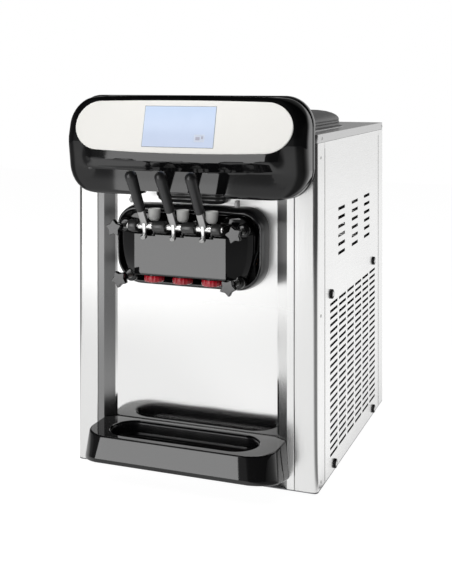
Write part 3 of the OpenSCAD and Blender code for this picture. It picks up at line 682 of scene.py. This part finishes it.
def block():
    builder = bmesh.new()
    levels = [(426.8, 1.6), (427.1, 0.7), (427.7, 0.2), (428.6, 0)] + [(z, 0) for z in range(436, 508, 8)]
    levels += [(z, 0) for z in (510.4, 511, 511.6, 516, 521, 526)] + [(528.6, 0.6), (530, 2.2)]
    add_rows(builder, [block_row(z, inset, -24) for z, inset in levels], close_u=True, caps=True)
    body = finish_mesh("dispensing_block_body", builder, GLOSS_BLACK, sharp=24,
                       replaces=["dispensing_block"])
    slots, bores = bmesh.new(), bmesh.new()
    for x in LEVER_X:
        slab(slots, rounded_box_outline(10.4, 16, 1.5), 508, 560, 0.5, upright_frame(x, -56))
        turned(bores, [(0, 400), (12.1, 400), (12.1, 560), (0, 560)], upright_frame(x, VALVE_Y), 48)
    cut(body, slots, 16)
    cut(body, bores, 16)
    flatten(body)
    # the plate behind, which reaches higher
    builder = bmesh.new()
    corners = [(-148, 480, 4), (-150, 519, 22), (-124, 549.5, 24), (124, 549.5, 24), (150, 519, 22), (148, 480, 4),
               (131, 426, 6), (-131, 426, 6)]
    plate = list(reversed(fillet(corners, 6)))
    slab(builder, plate, 2.5, 28.5, 3.5, front_frame())
    finish_mesh("dispensing_block_plate", builder, GLOSS_BLACK, sharp=28)
    # the gasket that closes the gap to the surround's back plate
    builder = bmesh.new()
    outer = grown(plate, -1)
    inner = grown(outer, -7)
    layered(builder, [(outer, 3), (outer, -11.8), (inner, -11.8), (inner, 3)], front_frame(), close_v=True)
    finish_mesh("block_gasket", builder, RUBBER)


def bearings():
    """Barrels that carry the pivot pin, on short webs, and the lugs of the four studs."""
    builder = bmesh.new()
    for x0, x1 in [(x - 13.5, x + 13.5) for x in (-32, 32)] + [(82.5, 100), (-100, -82.5)]:
        length = x1 - x0
        place = facing(at(x0, PIVOT_Y, PIVOT_Z), (1, 0, 0))
        turned(builder, [(4.2, 0), (10.4, 0), (11.6, 0.5), (12, 1.5), (12, length - 1.5), (11.6, length - 0.5),
                         (10.4, length), (4.2, length)], place, 40, caps=False)
        turned(builder, [(4.2, 0), (4.2, length)], place, 40, caps=False)
        web = rounded_box_outline(length / 2 - 1, 22, 2)
        slab(builder, web, 518, 531.5, 1.5, upright_frame((x0 + x1) / 2, -67))
    finish_mesh("pin_bearings", builder, BARREL_BLACK)
    builder = bmesh.new()
    for x, z in STUDS:
        turned(builder, [(0, 0), (14.5, 0), (14.5, 24), (14.2, 27.5), (13.2, 30), (11.4, 31.6), (9, 32), (0, 32)],
               front_frame(x, -20, z), 44)
    finish_mesh("stud_lugs", builder, GLOSS_BLACK)


def spigots():
    builder = bmesh.new()
    for x in LEVER_X:
        turned(builder, [(12, 428), (12, 415.6), (12.6, 415), (17, 415), (17.8, 415.8), (18, 428)],
               upright_frame(x, VALVE_Y), 48, caps=False)
    finish_mesh("nozzle_spigots", builder, GLOSS_BLACK)


def knob_outline():
    """Five points with a valley between each two, as (radius, rounding) in turn."""
    corners = [(19.2, 2.4), (11.8, 3.4)] * 5
    angles = [radians(90 + 36 * i) for i in range(10)]
    return fillet([(r * cos(a), r * sin(a), rounding) for (r, rounding), a in zip(corners, angles)], 4)


def star_knobs():
    """Five-pointed clamping knobs with a flat face and rounded edges, on threaded studs."""
    for i, (x, z) in enumerate(STUDS, 1):
        builder = bmesh.new()
        # each knob stopped at its own angle when it was tightened
        place = front_frame(x, -94, z) @ Matrix.Rotation(radians(-11 + 14 * i), 4, "Z")
        outline = knob_outline()
        layers = [(grown(outline, -3), 0), (grown(outline, -0.9), 0.7), (outline, 2.4), (outline, 10),
                  (grown(outline, -0.35), 11.2), (grown(outline, -1), 12), (grown(outline, -1.5), 12.2)]
        layered(builder, layers, place)
        turned(builder, [(0, -15), (8.6, -15), (9.6, -14.4), (10.2, -12.6), (10.8, -3), (12, 0.6), (0, 0.6)],
               place, 36)
        finish_mesh(f"knob_{i}", builder, KNOB_BLACK, f"knob_{i}", sharp=30,
                    replaces=[f"star_knob_{i}"], flat=True)
    builder = bmesh.new()
    for x, z in STUDS:
        place = front_frame(x, 0, z)
        thread = [(0, 46)]
        for k in range(18):
            thread += [(4.4, 48 + 1.6 * k), (4.95, 48.8 + 1.6 * k)]
        turned(builder, thread + [(4.4, 96), (0, 96)], place, 24)
        turned(builder, [(0, 52), (6.4, 52), (6.9, 52.5), (6.9, 54.5), (6.4, 55), (0, 55)], place, 28)
    finish_mesh("clamping_studs", builder, STUD_STEEL_PAINTED_SHADE, replaces=["head_studs"])


def levers():
    """Draw levers: a satin arm on a bright cross sleeve, a lifting fork, a stop foot and a black grip."""
    lean, down = radians(33), radians(20)
    top_y, top_z = PIVOT_Y - 41.5 * sin(lean), PIVOT_Z + 41.5 * cos(lean)
    for i, x in enumerate(LEVER_X, 1):
        builder = bmesh.new()
        bar(builder, (x, PIVOT_Y + 1, PIVOT_Z - 2), (x, top_y - 1, top_z + 1.5), 15.5, 10, 2.4)
        for side in SIDES:
            fork = x + side * 7.7
            tip = (fork, PIVOT_Y + 44.7 * cos(down), PIVOT_Z - 44.7 * sin(down))
            bar(builder, (fork, PIVOT_Y, PIVOT_Z), tip, 3, 5, 0.5)
            turned(builder, [(0, -1.5), (4.5, -1.5), (5, -1), (5, 1), (4.5, 1.5), (0, 1.5)],
                   facing(at(*tip), (1, 0, 0)), 28)
        # stop foot
        ankle = (x, PIVOT_Y - 19 * sin(down), PIVOT_Z - 19 * cos(down))
        bar(builder, (x, PIVOT_Y, PIVOT_Z), ankle, 8, 7, 1.2)
        foot = facing(at(x, PIVOT_Y - 5.5, PIVOT_Z - 19.5), (0, -cos(down), -sin(down)))
        corners = [radians(60 * k + 30) for k in range(6)]
        hexagon = fillet([(6.6 * cos(a), 5.2 * sin(a), 0.9) for a in corners], 2)
        slab(builder, hexagon, -1, 9, 1.2, foot)
        finish_mesh(f"lever_arm_{i}_body", builder, SATIN_METAL, f"lever_{i}",
                    replaces=[f"lever_arm_{i}"])
        builder = bmesh.new()
        sleeve = facing(at(x - 16, PIVOT_Y, PIVOT_Z), (1, 0, 0))
        turned(builder, [(4.1, 0), (5.6, 0), (6.3, 0.5), (6.5, 1.2), (6.5, 30.8), (6.3, 31.5), (5.6, 32), (4.1, 32)],
               sleeve, 36, caps=False)
        # pointed rib down the front of the hub
        rib = [(0.6, -20, 0.5), (3.6, -3, 0.5), (3.6, 3, 0.5), (0.6, 19, 0.5)]
        outline = fillet(rib + [(-px, pz, rounding) for px, pz, rounding in reversed(rib)], 2)
        place = front_frame(x, PIVOT_Y - 4, PIVOT_Z) @ Matrix.Rotation(radians(7), 4, "X")
        slab(builder, outline, 0, 5.4, 0.5, place)
        finish_mesh(f"lever_sleeve_{i}", builder, SLEEVE_CHROME, f"lever_{i}")
        grip(i, at(x, top_y, top_z))


def grip(i, foot):
    """A grip that widens to a round end."""
    builder = bmesh.new()
    lean = radians(32)
    place = facing(foot, (0, -sin(lean), cos(lean)))
    profile = [(0, 1.2), (8.6, 1.2), (9.6, 1.7), (10, 3), (10, 14), (10.3, 32), (10.9, 52), (11.6, 70), (12, 80)]
    profile += [(12 * cos(a), 85 + 12 * sin(a)) for a in quarter(9)]
    turned(builder, profile, place, 40)
    finish_mesh(f"lever_grip_{i}_body", builder, SATIN_BLACK, f"lever_{i}", sharp=50,
                replaces=[f"lever_grip_{i}"])


def draw_valves():
    """Valve heads: open white cups on the stems that the levers lift."""
    for i, x in enumerate(LEVER_X, 1):
        builder = bmesh.new()
        place = upright_frame(x, VALVE_Y)
        turned(builder, [(0, 538), (4.5, 538), (6.2, 537.4), (8.2, 538), (10.2, 539.8), (11.6, 542.6),
                         (12.4, 546.5), (12.8, 552), (13, 558), (13.2, 561.2), (12.9, 562), (12.2, 562),
                         (11.9, 561.4), (11.6, 559.5), (0, 559.2)], place, 48)
        finish_mesh(f"valve_{i}_body", builder, VALVE_WHITE, f"valve_{i}", sharp=45,
                    replaces=[f"draw_valve_{i}"])
        builder = bmesh.new()
        turned(builder, [(0, 418.5), (10.8, 418.5), (11.95, 419.6), (11.95, 504), (11.2, 504.9), (9, 505), (9, 510.5),
                         (4.5, 510.8), (4.5, 522), (9, 522.4), (9, 528), (4.5, 528.2), (4.5, 538.5)], place, 48)
        finish_mesh(f"valve_{i}_stem", builder, PAN_BLACK, f"valve_{i}", sharp=45)


def nozzle_caps():
    """Red twist-on caps with a star-shaped mouth and finger ribs."""
    for i, x in enumerate(LEVER_X, 1):
        builder = bmesh.new()
        place = upright_frame(x, VALVE_Y)
        turn = [2 * pi * k / 144 for k in range(144)]
        ribbed = polar([20.2 + 0.8 * max(0, cos(18 * a)) ** 0.6 for a in turn])
        star = polar([8.6 + 2.4 * cos(6 * a) for a in turn])
        inside = polar([18.3] * 144)
        layers = [(star, 414.6), (star, 412.9), (grown(star, 0.5), 412.5), (grown(ribbed, -1.8), 412.5),
                  (grown(ribbed, -0.6), 413.2), (ribbed, 414.8), (ribbed, 423.4), (grown(ribbed, -0.4), 425.2),
                  (grown(ribbed, -1), 425.6), (inside, 425.6), (inside, 414.6)]
        layered(builder, layers, place, close_v=True)
        finish_mesh(f"cap_{i}_body", builder, RED, f"cap_{i}", sharp=40, replaces=[f"nozzle_cap_{i}"])


# ---------------- drip tray

POCKET_HALF_W, POCKET_R, POCKET_Y = 164, 50, -47


def tray_plan(inset, height):
    """The tray's plan at one height: it spreads downwards, and a tongue behind fits the front panel's recess."""
    share = clamp((98 - height) / 50)
    side = 205.5 + 6 * share - inset
    front = -110.5 - 10.2 * clamp((98 - height) / 42) + inset
    planar = 156.5 + 9.5 * share - inset * 0.3
    deep = 56 + 5 * share
    # the corner's curve starts at a slant, so a faint edge shows where it meets the flat front
    low = radians(14)
    angles = [pi / 2 - (pi / 2 - low) * k / 14 for k in range(15)]
    arc = [(planar + (side - planar) * (sin(a) - sin(low)) / (1 - sin(low)),
            front + deep * (cos(low) - cos(a)) / cos(low)) for a in angles]
    right = [(180.5 - inset, 13.8 - inset), (205 - inset, -1 - inset * 0.4), (side, -1.4 - inset * 0.4),
             (side, (front + deep) * 0.5)] + arc
    flat = [(planar * (1 - k / 8), front) for k in range(1, 16)]
    return right + flat + [(-x, y) for x, y in reversed(right)]


def stadium(grow):
    """The oval pocket's outline, moved outwards by grow."""
    radius = POCKET_R + grow
    straight = POCKET_HALF_W + grow - radius
    angles = [-pi / 2 + pi * k / 24 for k in range(25)]
    right = [(straight + radius * cos(a), POCKET_Y + radius * sin(a)) for a in angles]
    return right + [(-x, 2 * POCKET_Y - y) for x, y in right]


def tray():
    """A hollow shell with a leaning front, open below, round an oval pocket for the pan."""
    builder = bmesh.new()

    def ring(inset, height):
        drop = 26 * smooth_step(97 - height, 0, 49)
        plan = tray_plan(inset, height)
        front = min(y for x, y in plan)
        return [at(x, y, height - drop * clamp((y - front) / 121)) for x, y in plan]

    outside = [(3.4, 100), (2.2, 99.8), (1.1, 99.2), (0.35, 98.2), (0, 97), (0, 90), (0, 80), (0, 70), (0, 57.4),
               (0, 56), (0, 54.6), (0, 52), (0.4, 50), (1.5, 48.4), (3, 48), (3.6, 48.6)]
    made = add_rows(builder, [ring(inset, height) for inset, height in outside]
                    + [[at(x, y, 96.4) for x, y in tray_plan(3.6, 96.4)]], close_u=True)
    rim = [(0, 100), (-0.9, 99.4), (-1.2, 98.4), (-1.2, 95.6), (-3.4, 95.2), (-3.9, 94.6), (-3.9, 86),
           (2.4, 86), (2.4, 96.4)]
    made_rim = add_rows(builder, [[at(x, y, z) for x, y in stadium(grow)] for grow, z in rim], close_u=True)
    for end in (0, -1):
        loops = [e for row in (made[end], made_rim[end]) for e in loop_edges(row)]
        bmesh.ops.triangle_fill(builder, edges=loops, use_beauty=True)
    shell = finish_mesh("drip_tray_shell", builder, GLOSS_BLACK, "tray", sharp=24,
                        replaces=["drip_tray"])
    cutter = bmesh.new()
    for side in SIDES:
        slab(cutter, rounded_box_outline(8, 12, 1), 68, 78, 0.5, upright_frame(side * 170, 12))
    cut(shell, cutter, 20)
    flatten(shell)


def loop_edges(row):
    """The edges between a closed row's neighbouring points."""
    return [edge for a, b in zip(row, row[1:] + row[:1]) for edge in a.link_edges if b in edge.verts]


def pan():
    """The lift-out pan: a rolled rim on the tray's ledge and a rounded floor."""
    builder = bmesh.new()
    section = [(-2, 93.2), (-1.6, 94.8), (-2.2, 96.6), (-3.6, 97.2), (-4.6, 96.4), (-5.2, 94), (-6.4, 78),
               (-8, 72), (-12, 69), (-20, 68.2), (-30, 68), (-49.99, 68)]
    back = [(-49.99, 66.2), (-20, 66.2), (-11, 67), (-6.6, 71), (-5.6, 78), (-5.2, 92.4), (-2.6, 92.4)]
    rows = [[at(x, y, z) for x, y in stadium(grow)] for grow, z in section + back]
    add_rows(builder, rows, close_u=True, close_v=True)
    finish_mesh("drip_pan_body", builder, PAN_BLACK, "pan", sharp=40, replaces=["drip_pan"])


# ---------------- cabinet details


def hopper_lids():
    """Domed lids with pressed ribs round the skirt and a bar handle."""
    half_x, half_y = 112, 152
    section = [(0, 2.4), (0, 3.4), (1.5, 4.4), (4.5, 4.8), (5.5, 6), (5.8, 9), (7, 10), (6, 11.2),
               (6.2, 15), (7.4, 16), (6.4, 17.2), (6.8, 21), (9, 25), (14, 29.5), (22, 33.6),
               (34, 37.4), (50, 39.8), (70, 41), (95, 41.4)]
    outlines = [(rounded_box_outline(half_x - 8, half_y - 8, 40, 10), 2.4)]
    for inset, height in section:
        radius = min(max(46 - inset * 0.6, 8), half_x - inset - 0.5)
        outlines.append((rounded_box_outline(half_x - inset, half_y - inset, radius, 10), height))
    for side, name in zip(SIDES, ("left", "right")):
        centre = side * HOPPER_X
        builder = bmesh.new()
        rows = [[at(centre + x, HOPPER_Y + y, TOP + height) for x, y in outline] for outline, height in outlines]
        builder.faces.new(add_rows(builder, rows, close_u=True)[-1])
        finish_mesh(f"lid_{name}_body", builder, LID_STEEL_PAINTED_SHADE, f"lid_{name}", sharp=50,
                    replaces=[f"hopper_lid_{name}"])
        builder = bmesh.new()
        for x in (centre - 42, centre + 42):
            bar(builder, (x, HOPPER_Y, 757), (x, HOPPER_Y, 772), 8, 12, 1.5)
        turned(builder, [(0, 0), (5, 0), (6.4, 0.8), (7, 2.4), (7, 93.6), (6.4, 95.2), (5, 96), (0, 96)],
               facing(at(centre - 48, HOPPER_Y, 773), (1, 0, 0)), 32)
        finish_mesh(f"lid_{name}_handle", builder, SATIN_BLACK, f"lid_{name}")


def screw_head(builder, place, radius, tall):
    """A pan head with a cross recess."""
    crossed = [radius * (0.62 if k % 9 in (0, 1, 8) else 0.2) for k in range(36)]
    profile = [(1, 0), (1, 0.4), (0.93, 0.75), (0.8, 1)]
    layers = [(polar([radius * share] * 36), tall * height) for share, height in profile]
    layers += [(polar(crossed), tall), (polar([r * 0.8 for r in crossed]), tall * 0.25)]
    layered(builder, layers, place)


def screws():
    side_x, rear = 1000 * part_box("right_side_panel")[1].x, 1000 * (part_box("rear_panel")[1].y - FRONT)
    heads, seam_shadows, thumbs, centres = bmesh.new(), bmesh.new(), bmesh.new(), bmesh.new()
    gripped = polar([9.4 + 0.5 * cos(k * pi / 2) for k in range(90)])
    thumb = [(gripped, 0), (gripped, 3.6), (grown(gripped, -0.6), 4.6), (grown(gripped, -2.2), 5),
             (grown(gripped, -4.2), 4.6)]
    for side in SIDES:
        x, outward = side * side_x, (side, 0, 0)
        for y, z in ((40, 708), (620, 708), (30, 670), (30, 350), (30, 14)):
            screw_head(heads, facing(at(x, y, z), outward), 3.6, 0.8)
        for z in (30, 350, 660):
            screw_head(heads, facing(at(side * 225, rear, z), (0, 1, 0)), 4, 1.4)
        # dark strips down the side panels' joints: painted shadow in the gaps between the sheets
        for y in (59, 575):
            bar(seam_shadows, (x, y, 4), (x, y, 688), 0.7, 1.3, 0.1)
        for y, z in ((109, 379), (513, 380), (136, 14), (511, 14)):
            place = facing(at(x, y, z), outward)
            layered(thumbs, thumb, place)
            turned(centres, [(0, 4.4), (4.6, 4.4), (4.2, 5.2), (3, 5.6), (1.2, 5.6), (0.8, 5), (0, 5)],
                   place, 28)
    finish_mesh("panel_screw_heads", heads, SCREW_STEEL, sharp=30, replaces=["panel_screws"])
    finish_mesh("side_seam_shadows", seam_shadows, PAINTED_SEAM_SHADOW)
    finish_mesh("panel_thumb_screws", thumbs, SATIN_BLACK)
    finish_mesh("thumb_screw_centres", centres, SCREW_STEEL)


def rear_louvres():
    """Pressed hoods over the rear panel's slots, closed down to the panel at both ends."""
    builder = bmesh.new()
    rear = 1000 * (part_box("rear_panel")[1].y - FRONT)
    for side in SIDES:
        for z in range(120, 540, 30):
            rows = []
            for k in range(9):
                x = side * 120 - 82 + 164 * k / 8
                rise = 0 if k in (0, 8) else 6
                section = [(-0.1, 9.5), (rise * 0.55, 8.2), (rise, 4.5), (rise, -0.5), (max(rise - 0.9, 0), -0.5),
                           (max(rise - 1.2, 0), 4), (-0.1, 7.6)]
                rows.append([at(x, rear + out, z + up) for out, up in section])
            add_rows(builder, rows, close_u=True, caps=True)
    finish_mesh("rear_louvres", builder, SIDE_STEEL, sharp=30)


def cabinet():
    """Gives the CAD nodes that keep their shape their materials."""
    for names, material, edge in (
            ("left_side_panel right_side_panel rear_panel", SIDE_STEEL, 0),
            ("left_front_column right_front_column", COLUMN_STEEL, 0.009),
            ("front_panel", FRONT_STEEL, 0.0012),
            ("top_panel", TOP_STEEL_PAINTED_SHADE, 0.0008),
            ("base_pan frame_posts fan_shroud", ZINC, 0),
            ("rubber_feet", RUBBER, 0.0015),
            ("cable_gland", SATIN_BLACK, 0.0008),
            ("pivot_pin", CHROME, 0.0006),
            ("hopper_left hopper_right", HOPPER_STEEL_PAINTED_SHADE, 0),
            ("freezing_cylinder_left freezing_cylinder_right", INSULATION, 0),
            ("mix_tube_left mix_tube_right beater_left beater_right", VALVE_WHITE, 0),
            ("control_board", BOARD, 0),
            ("gearbox gearbox_pulley motor_pulley", CAST, 0.001),
            ("beater_motor compressor", MOTOR_PAINT, 0),
            ("condenser_fan", SATIN_BLACK, 0),
            ("condenser", FINS_PAINTED_SHADE, 0),
            ("refrigerant_pipes", COPPER, 0),
            ("drive_belt", BELT, 0)):
        dress(names, material, edge)


# ---------------- studio

# brightness round the machine: degrees from straight ahead, positive to its right
WORLD_LEVELS = [(-180, 0.7), (-165, 0.42), (-140, 0.16), (-120, 0.07), (-78, 0.08), (-55, 0.08), (-36, 0.3),
                (-12, 0.3), (0, 0.1), (20, 0.05), (115, 0.05), (132, 0.6), (145, 0.95), (172, 0.98), (180, 0.7)]
FLOOR_LEVELS = [(-180, 0.8), (-140, 0.6), (-115, 0.3), (-88, 0.12), (-79, 0.1), (-60, 0.2), (-48, 0.8), (-30, 0.92),
                (-5, 0.82), (8, 0.4), (22, 0.1), (80, 0.08), (100, 0.4), (125, 1), (165, 1.1), (180, 0.8)]


def around_ramp(tree, vector, levels, centre=(0, 0)):
    """A brightness that changes with the direction round a centre, in degrees, positive to the machine's right."""
    place = axes(tree, vector)
    across = calculate(tree, "SUBTRACT", place["X"], centre[0])
    ahead = calculate(tree, "MULTIPLY_ADD", place["Y"], -1, centre[1])
    turn = calculate(tree, "ARCTAN2", across, ahead)
    share = calculate(tree, "MULTIPLY_ADD", turn, 0.5 / pi, 0.5)
    # a ramp holds levels up to 1, so they are halved in it
    halves = ramp(tree, share, [((degrees + 180) / 360, level / 2) for degrees, level in levels])
    return calculate(tree, "MULTIPLY", halves, 2)


def to_camera(tree, seen, otherwise):
    """One strength where the camera looks straight at a thing, and another for light and reflections."""
    camera_ray = add_node(tree, "LightPath").outputs["Is Camera Ray"]
    inputs = {"Factor": camera_ray, "A": otherwise, "B": seen}
    return add_node(tree, "Mix", inputs, data_type="FLOAT").outputs["Result"]


def world():
    """White to the camera. For light and reflections it is dark all round, except behind the machine."""
    made = bpy.data.worlds.new("studio")
    bpy.context.scene.world = made
    made.use_nodes = True
    tree = made.node_tree
    tree.nodes.clear()
    direction = add_node(tree, "TexCoord").outputs["Generated"]
    around = around_ramp(tree, direction, WORLD_LEVELS)
    rise = calculate(tree, "MULTIPLY_ADD", axes(tree, direction)["Z"], 0.5, 0.5)
    height = ramp(tree, rise, [(0.5, 1), (0.62, 1), (0.72, 0.2), (1, 0.1)])
    strength = to_camera(tree, 1, calculate(tree, "MULTIPLY", around, height))
    background = add_node(tree, "Background", {"Color": (1, 1, 1, 1), "Strength": strength})
    add_node(tree, "OutputWorld", {"Surface": background.outputs["Background"]})


def floor_shader():
    """White to the camera; to everything else it is as bright as the studio behind it."""
    s = Shader("floor", Roughness=0.8, Specular_IOR_Level=0, Emission_Color=(1, 1, 1, 1))
    s.colour(s.noise(60), 0.25, 0.27)
    far = around_ramp(s.tree, s.position, FLOOR_LEVELS, (0.3, -0.15))
    distance = add_node(s.tree, "VectorMath", {0: s.position, 1: (-0.5, -0.6, 0)}, operation="DISTANCE")
    near = s.span(distance.outputs["Value"], 0.85, 0, 0.4, 0.75)
    s.link(to_camera(s.tree, 0.97, calculate(s.tree, "MAXIMUM", far, near)), "Emission Strength")
    return s.material


def softbox(name, place, target, width, height, radiance, pieces, state="INCLUDE"):
    """A soft area light of a given brightness that the camera doesn't see.

    It lights only some pieces, or with the state EXCLUDE only the others.
    """
    light = bpy.data.lights.new(name, "AREA")
    light.shape = "RECTANGLE"
    light.size, light.size_y = width, height
    light.energy = radiance * pi * width * height
    lamp = bpy.data.objects.new(name, light)
    lamp.location = place
    lamp.rotation_euler = (Vector(target) - Vector(place)).to_track_quat("-Z", "Y").to_euler()
    lamp.visible_camera = False
    bpy.context.scene.collection.objects.link(lamp)
    linked = bpy.data.collections.new(name + "_pieces")
    for piece in pieces:
        linked.objects.link(piece)
    for entry in linked.collection_objects:
        entry.light_linking.link_state = state
    lamp.light_linking.receiver_collection = linked


def pieces_of(*materials):
    """Every piece that has one of the materials."""
    names = {m.name for m in materials}
    return [o for o in bpy.context.scene.objects
            if o.type == "MESH" and any(m and m.name in names for m in o.data.materials)]


# softboxes on a wall in front: name, left, right, low, high, radiance. Each piece's flat faces mirror their own part
# of the wall, and only the black pieces that a box is for see it. The last box lights all that isn't black.
WALL_Y = -1850
WALL = [("header_softbox", -1150, -530, -20, 900, 2.7),
        ("header_lip_softbox", -1350, -230, 1200, 1620, 3.4),
        ("tray_softbox", -1500, -400, -20, 640, 5),
        ("tray_top_softbox", -1500, -400, 640, 1620, 1),
        ("black_softbox", -1500, -400, -20, 1620, 4.3),
        ("front_softbox", -1450, -350, -20, 1620, 1.05)]


def studio():
    """A narrow bright softbox that the gloss black mirrors, dimmer ones for everything else, and a white floor."""
    world()
    blacks = pieces_of(GLOSS_BLACK, SURROUND_BLACK, POD_BLACK, BARREL_BLACK, KNOB_BLACK, PAN_BLACK, SATIN_BLACK)
    header_parts = [o for o in blacks if o.name in ("header_moulding", "header_back_cover")]
    tray_parts = [o for o in blacks if o.name in ("drip_tray_shell", "drip_pan_body")]
    others = [o for o in blacks if o not in header_parts + tray_parts]
    groups = {"header": header_parts, "tray": tray_parts, "black": others}
    for name, left, right, low, high, radiance in WALL:
        middle, upright = (left + right) / 2, (low + high) / 2
        pieces = groups.get(name.split("_")[0])
        softbox(name, at(middle, WALL_Y, upright), at(middle, 0, upright), (right - left) / 1000, (high - low) / 1000,
                radiance, pieces or blacks, "INCLUDE" if pieces else "EXCLUDE")
    steel, round_edges = pieces_of(FRONT_STEEL), pieces_of(SURROUND_BLACK, POD_BLACK)
    # seen in the panel's right bevel only
    softbox("bevel_softbox", at(-950, -420, 560), at(200, 0, 400), 0.9, 1.1, 1.1, steel)
    # seen in the panel where the surround's right wall mirrors it
    softbox("beside_softbox", at(1150, -1700, 330), at(165, 0, 480), 0.9, 1, 0.55, steel)
    # seen in the rounded edges of the surround and the ribs behind the valves
    softbox("ring_softbox", at(1500, -650, 560), at(165, -20, 480), 1.3, 1.3, 3.4, round_edges)
    softbox("high_softbox", at(-100, -1800, 2200), at(0, -60, 600), 2.4, 1.3, 3.8, blacks, "EXCLUDE")
    softbox("overhead_softbox", at(0, 300, 2500), at(0, 300, 0), 2.4, 2, 0.8, blacks, "EXCLUDE")
    builder = bmesh.new()
    add_rows(builder, [[Vector((x, y, -0.0005)) for x in (-6, 6)] for y in (-6, 6)])
    floor = place_mesh("floor", builder)
    floor.data.materials.append(floor_shader())
    bpy.context.scene.view_settings.view_transform = "Standard"


def camera():
    lens = bpy.data.cameras.new("camera")
    lens.lens, lens.sensor_width, lens.sensor_fit, lens.shift_y = 61.1, 36, "AUTO", -0.363
    made = bpy.data.objects.new("camera", lens)
    made.location = at(803.1, -1913.7, 827.8)
    made.rotation_euler = (radians(90), 0, radians(20.82))
    bpy.context.scene.collection.objects.link(made)
    bpy.context.scene.camera = made


# ---------------- build

for build in (camera, cabinet, header, face_panel, screen, switch_pod, header_clips, surround, block, bearings,
              spigots, star_knobs, levers, draw_valves, nozzle_caps, tray, pan, hopper_lids, screws, rear_louvres,
              studio):
    build()
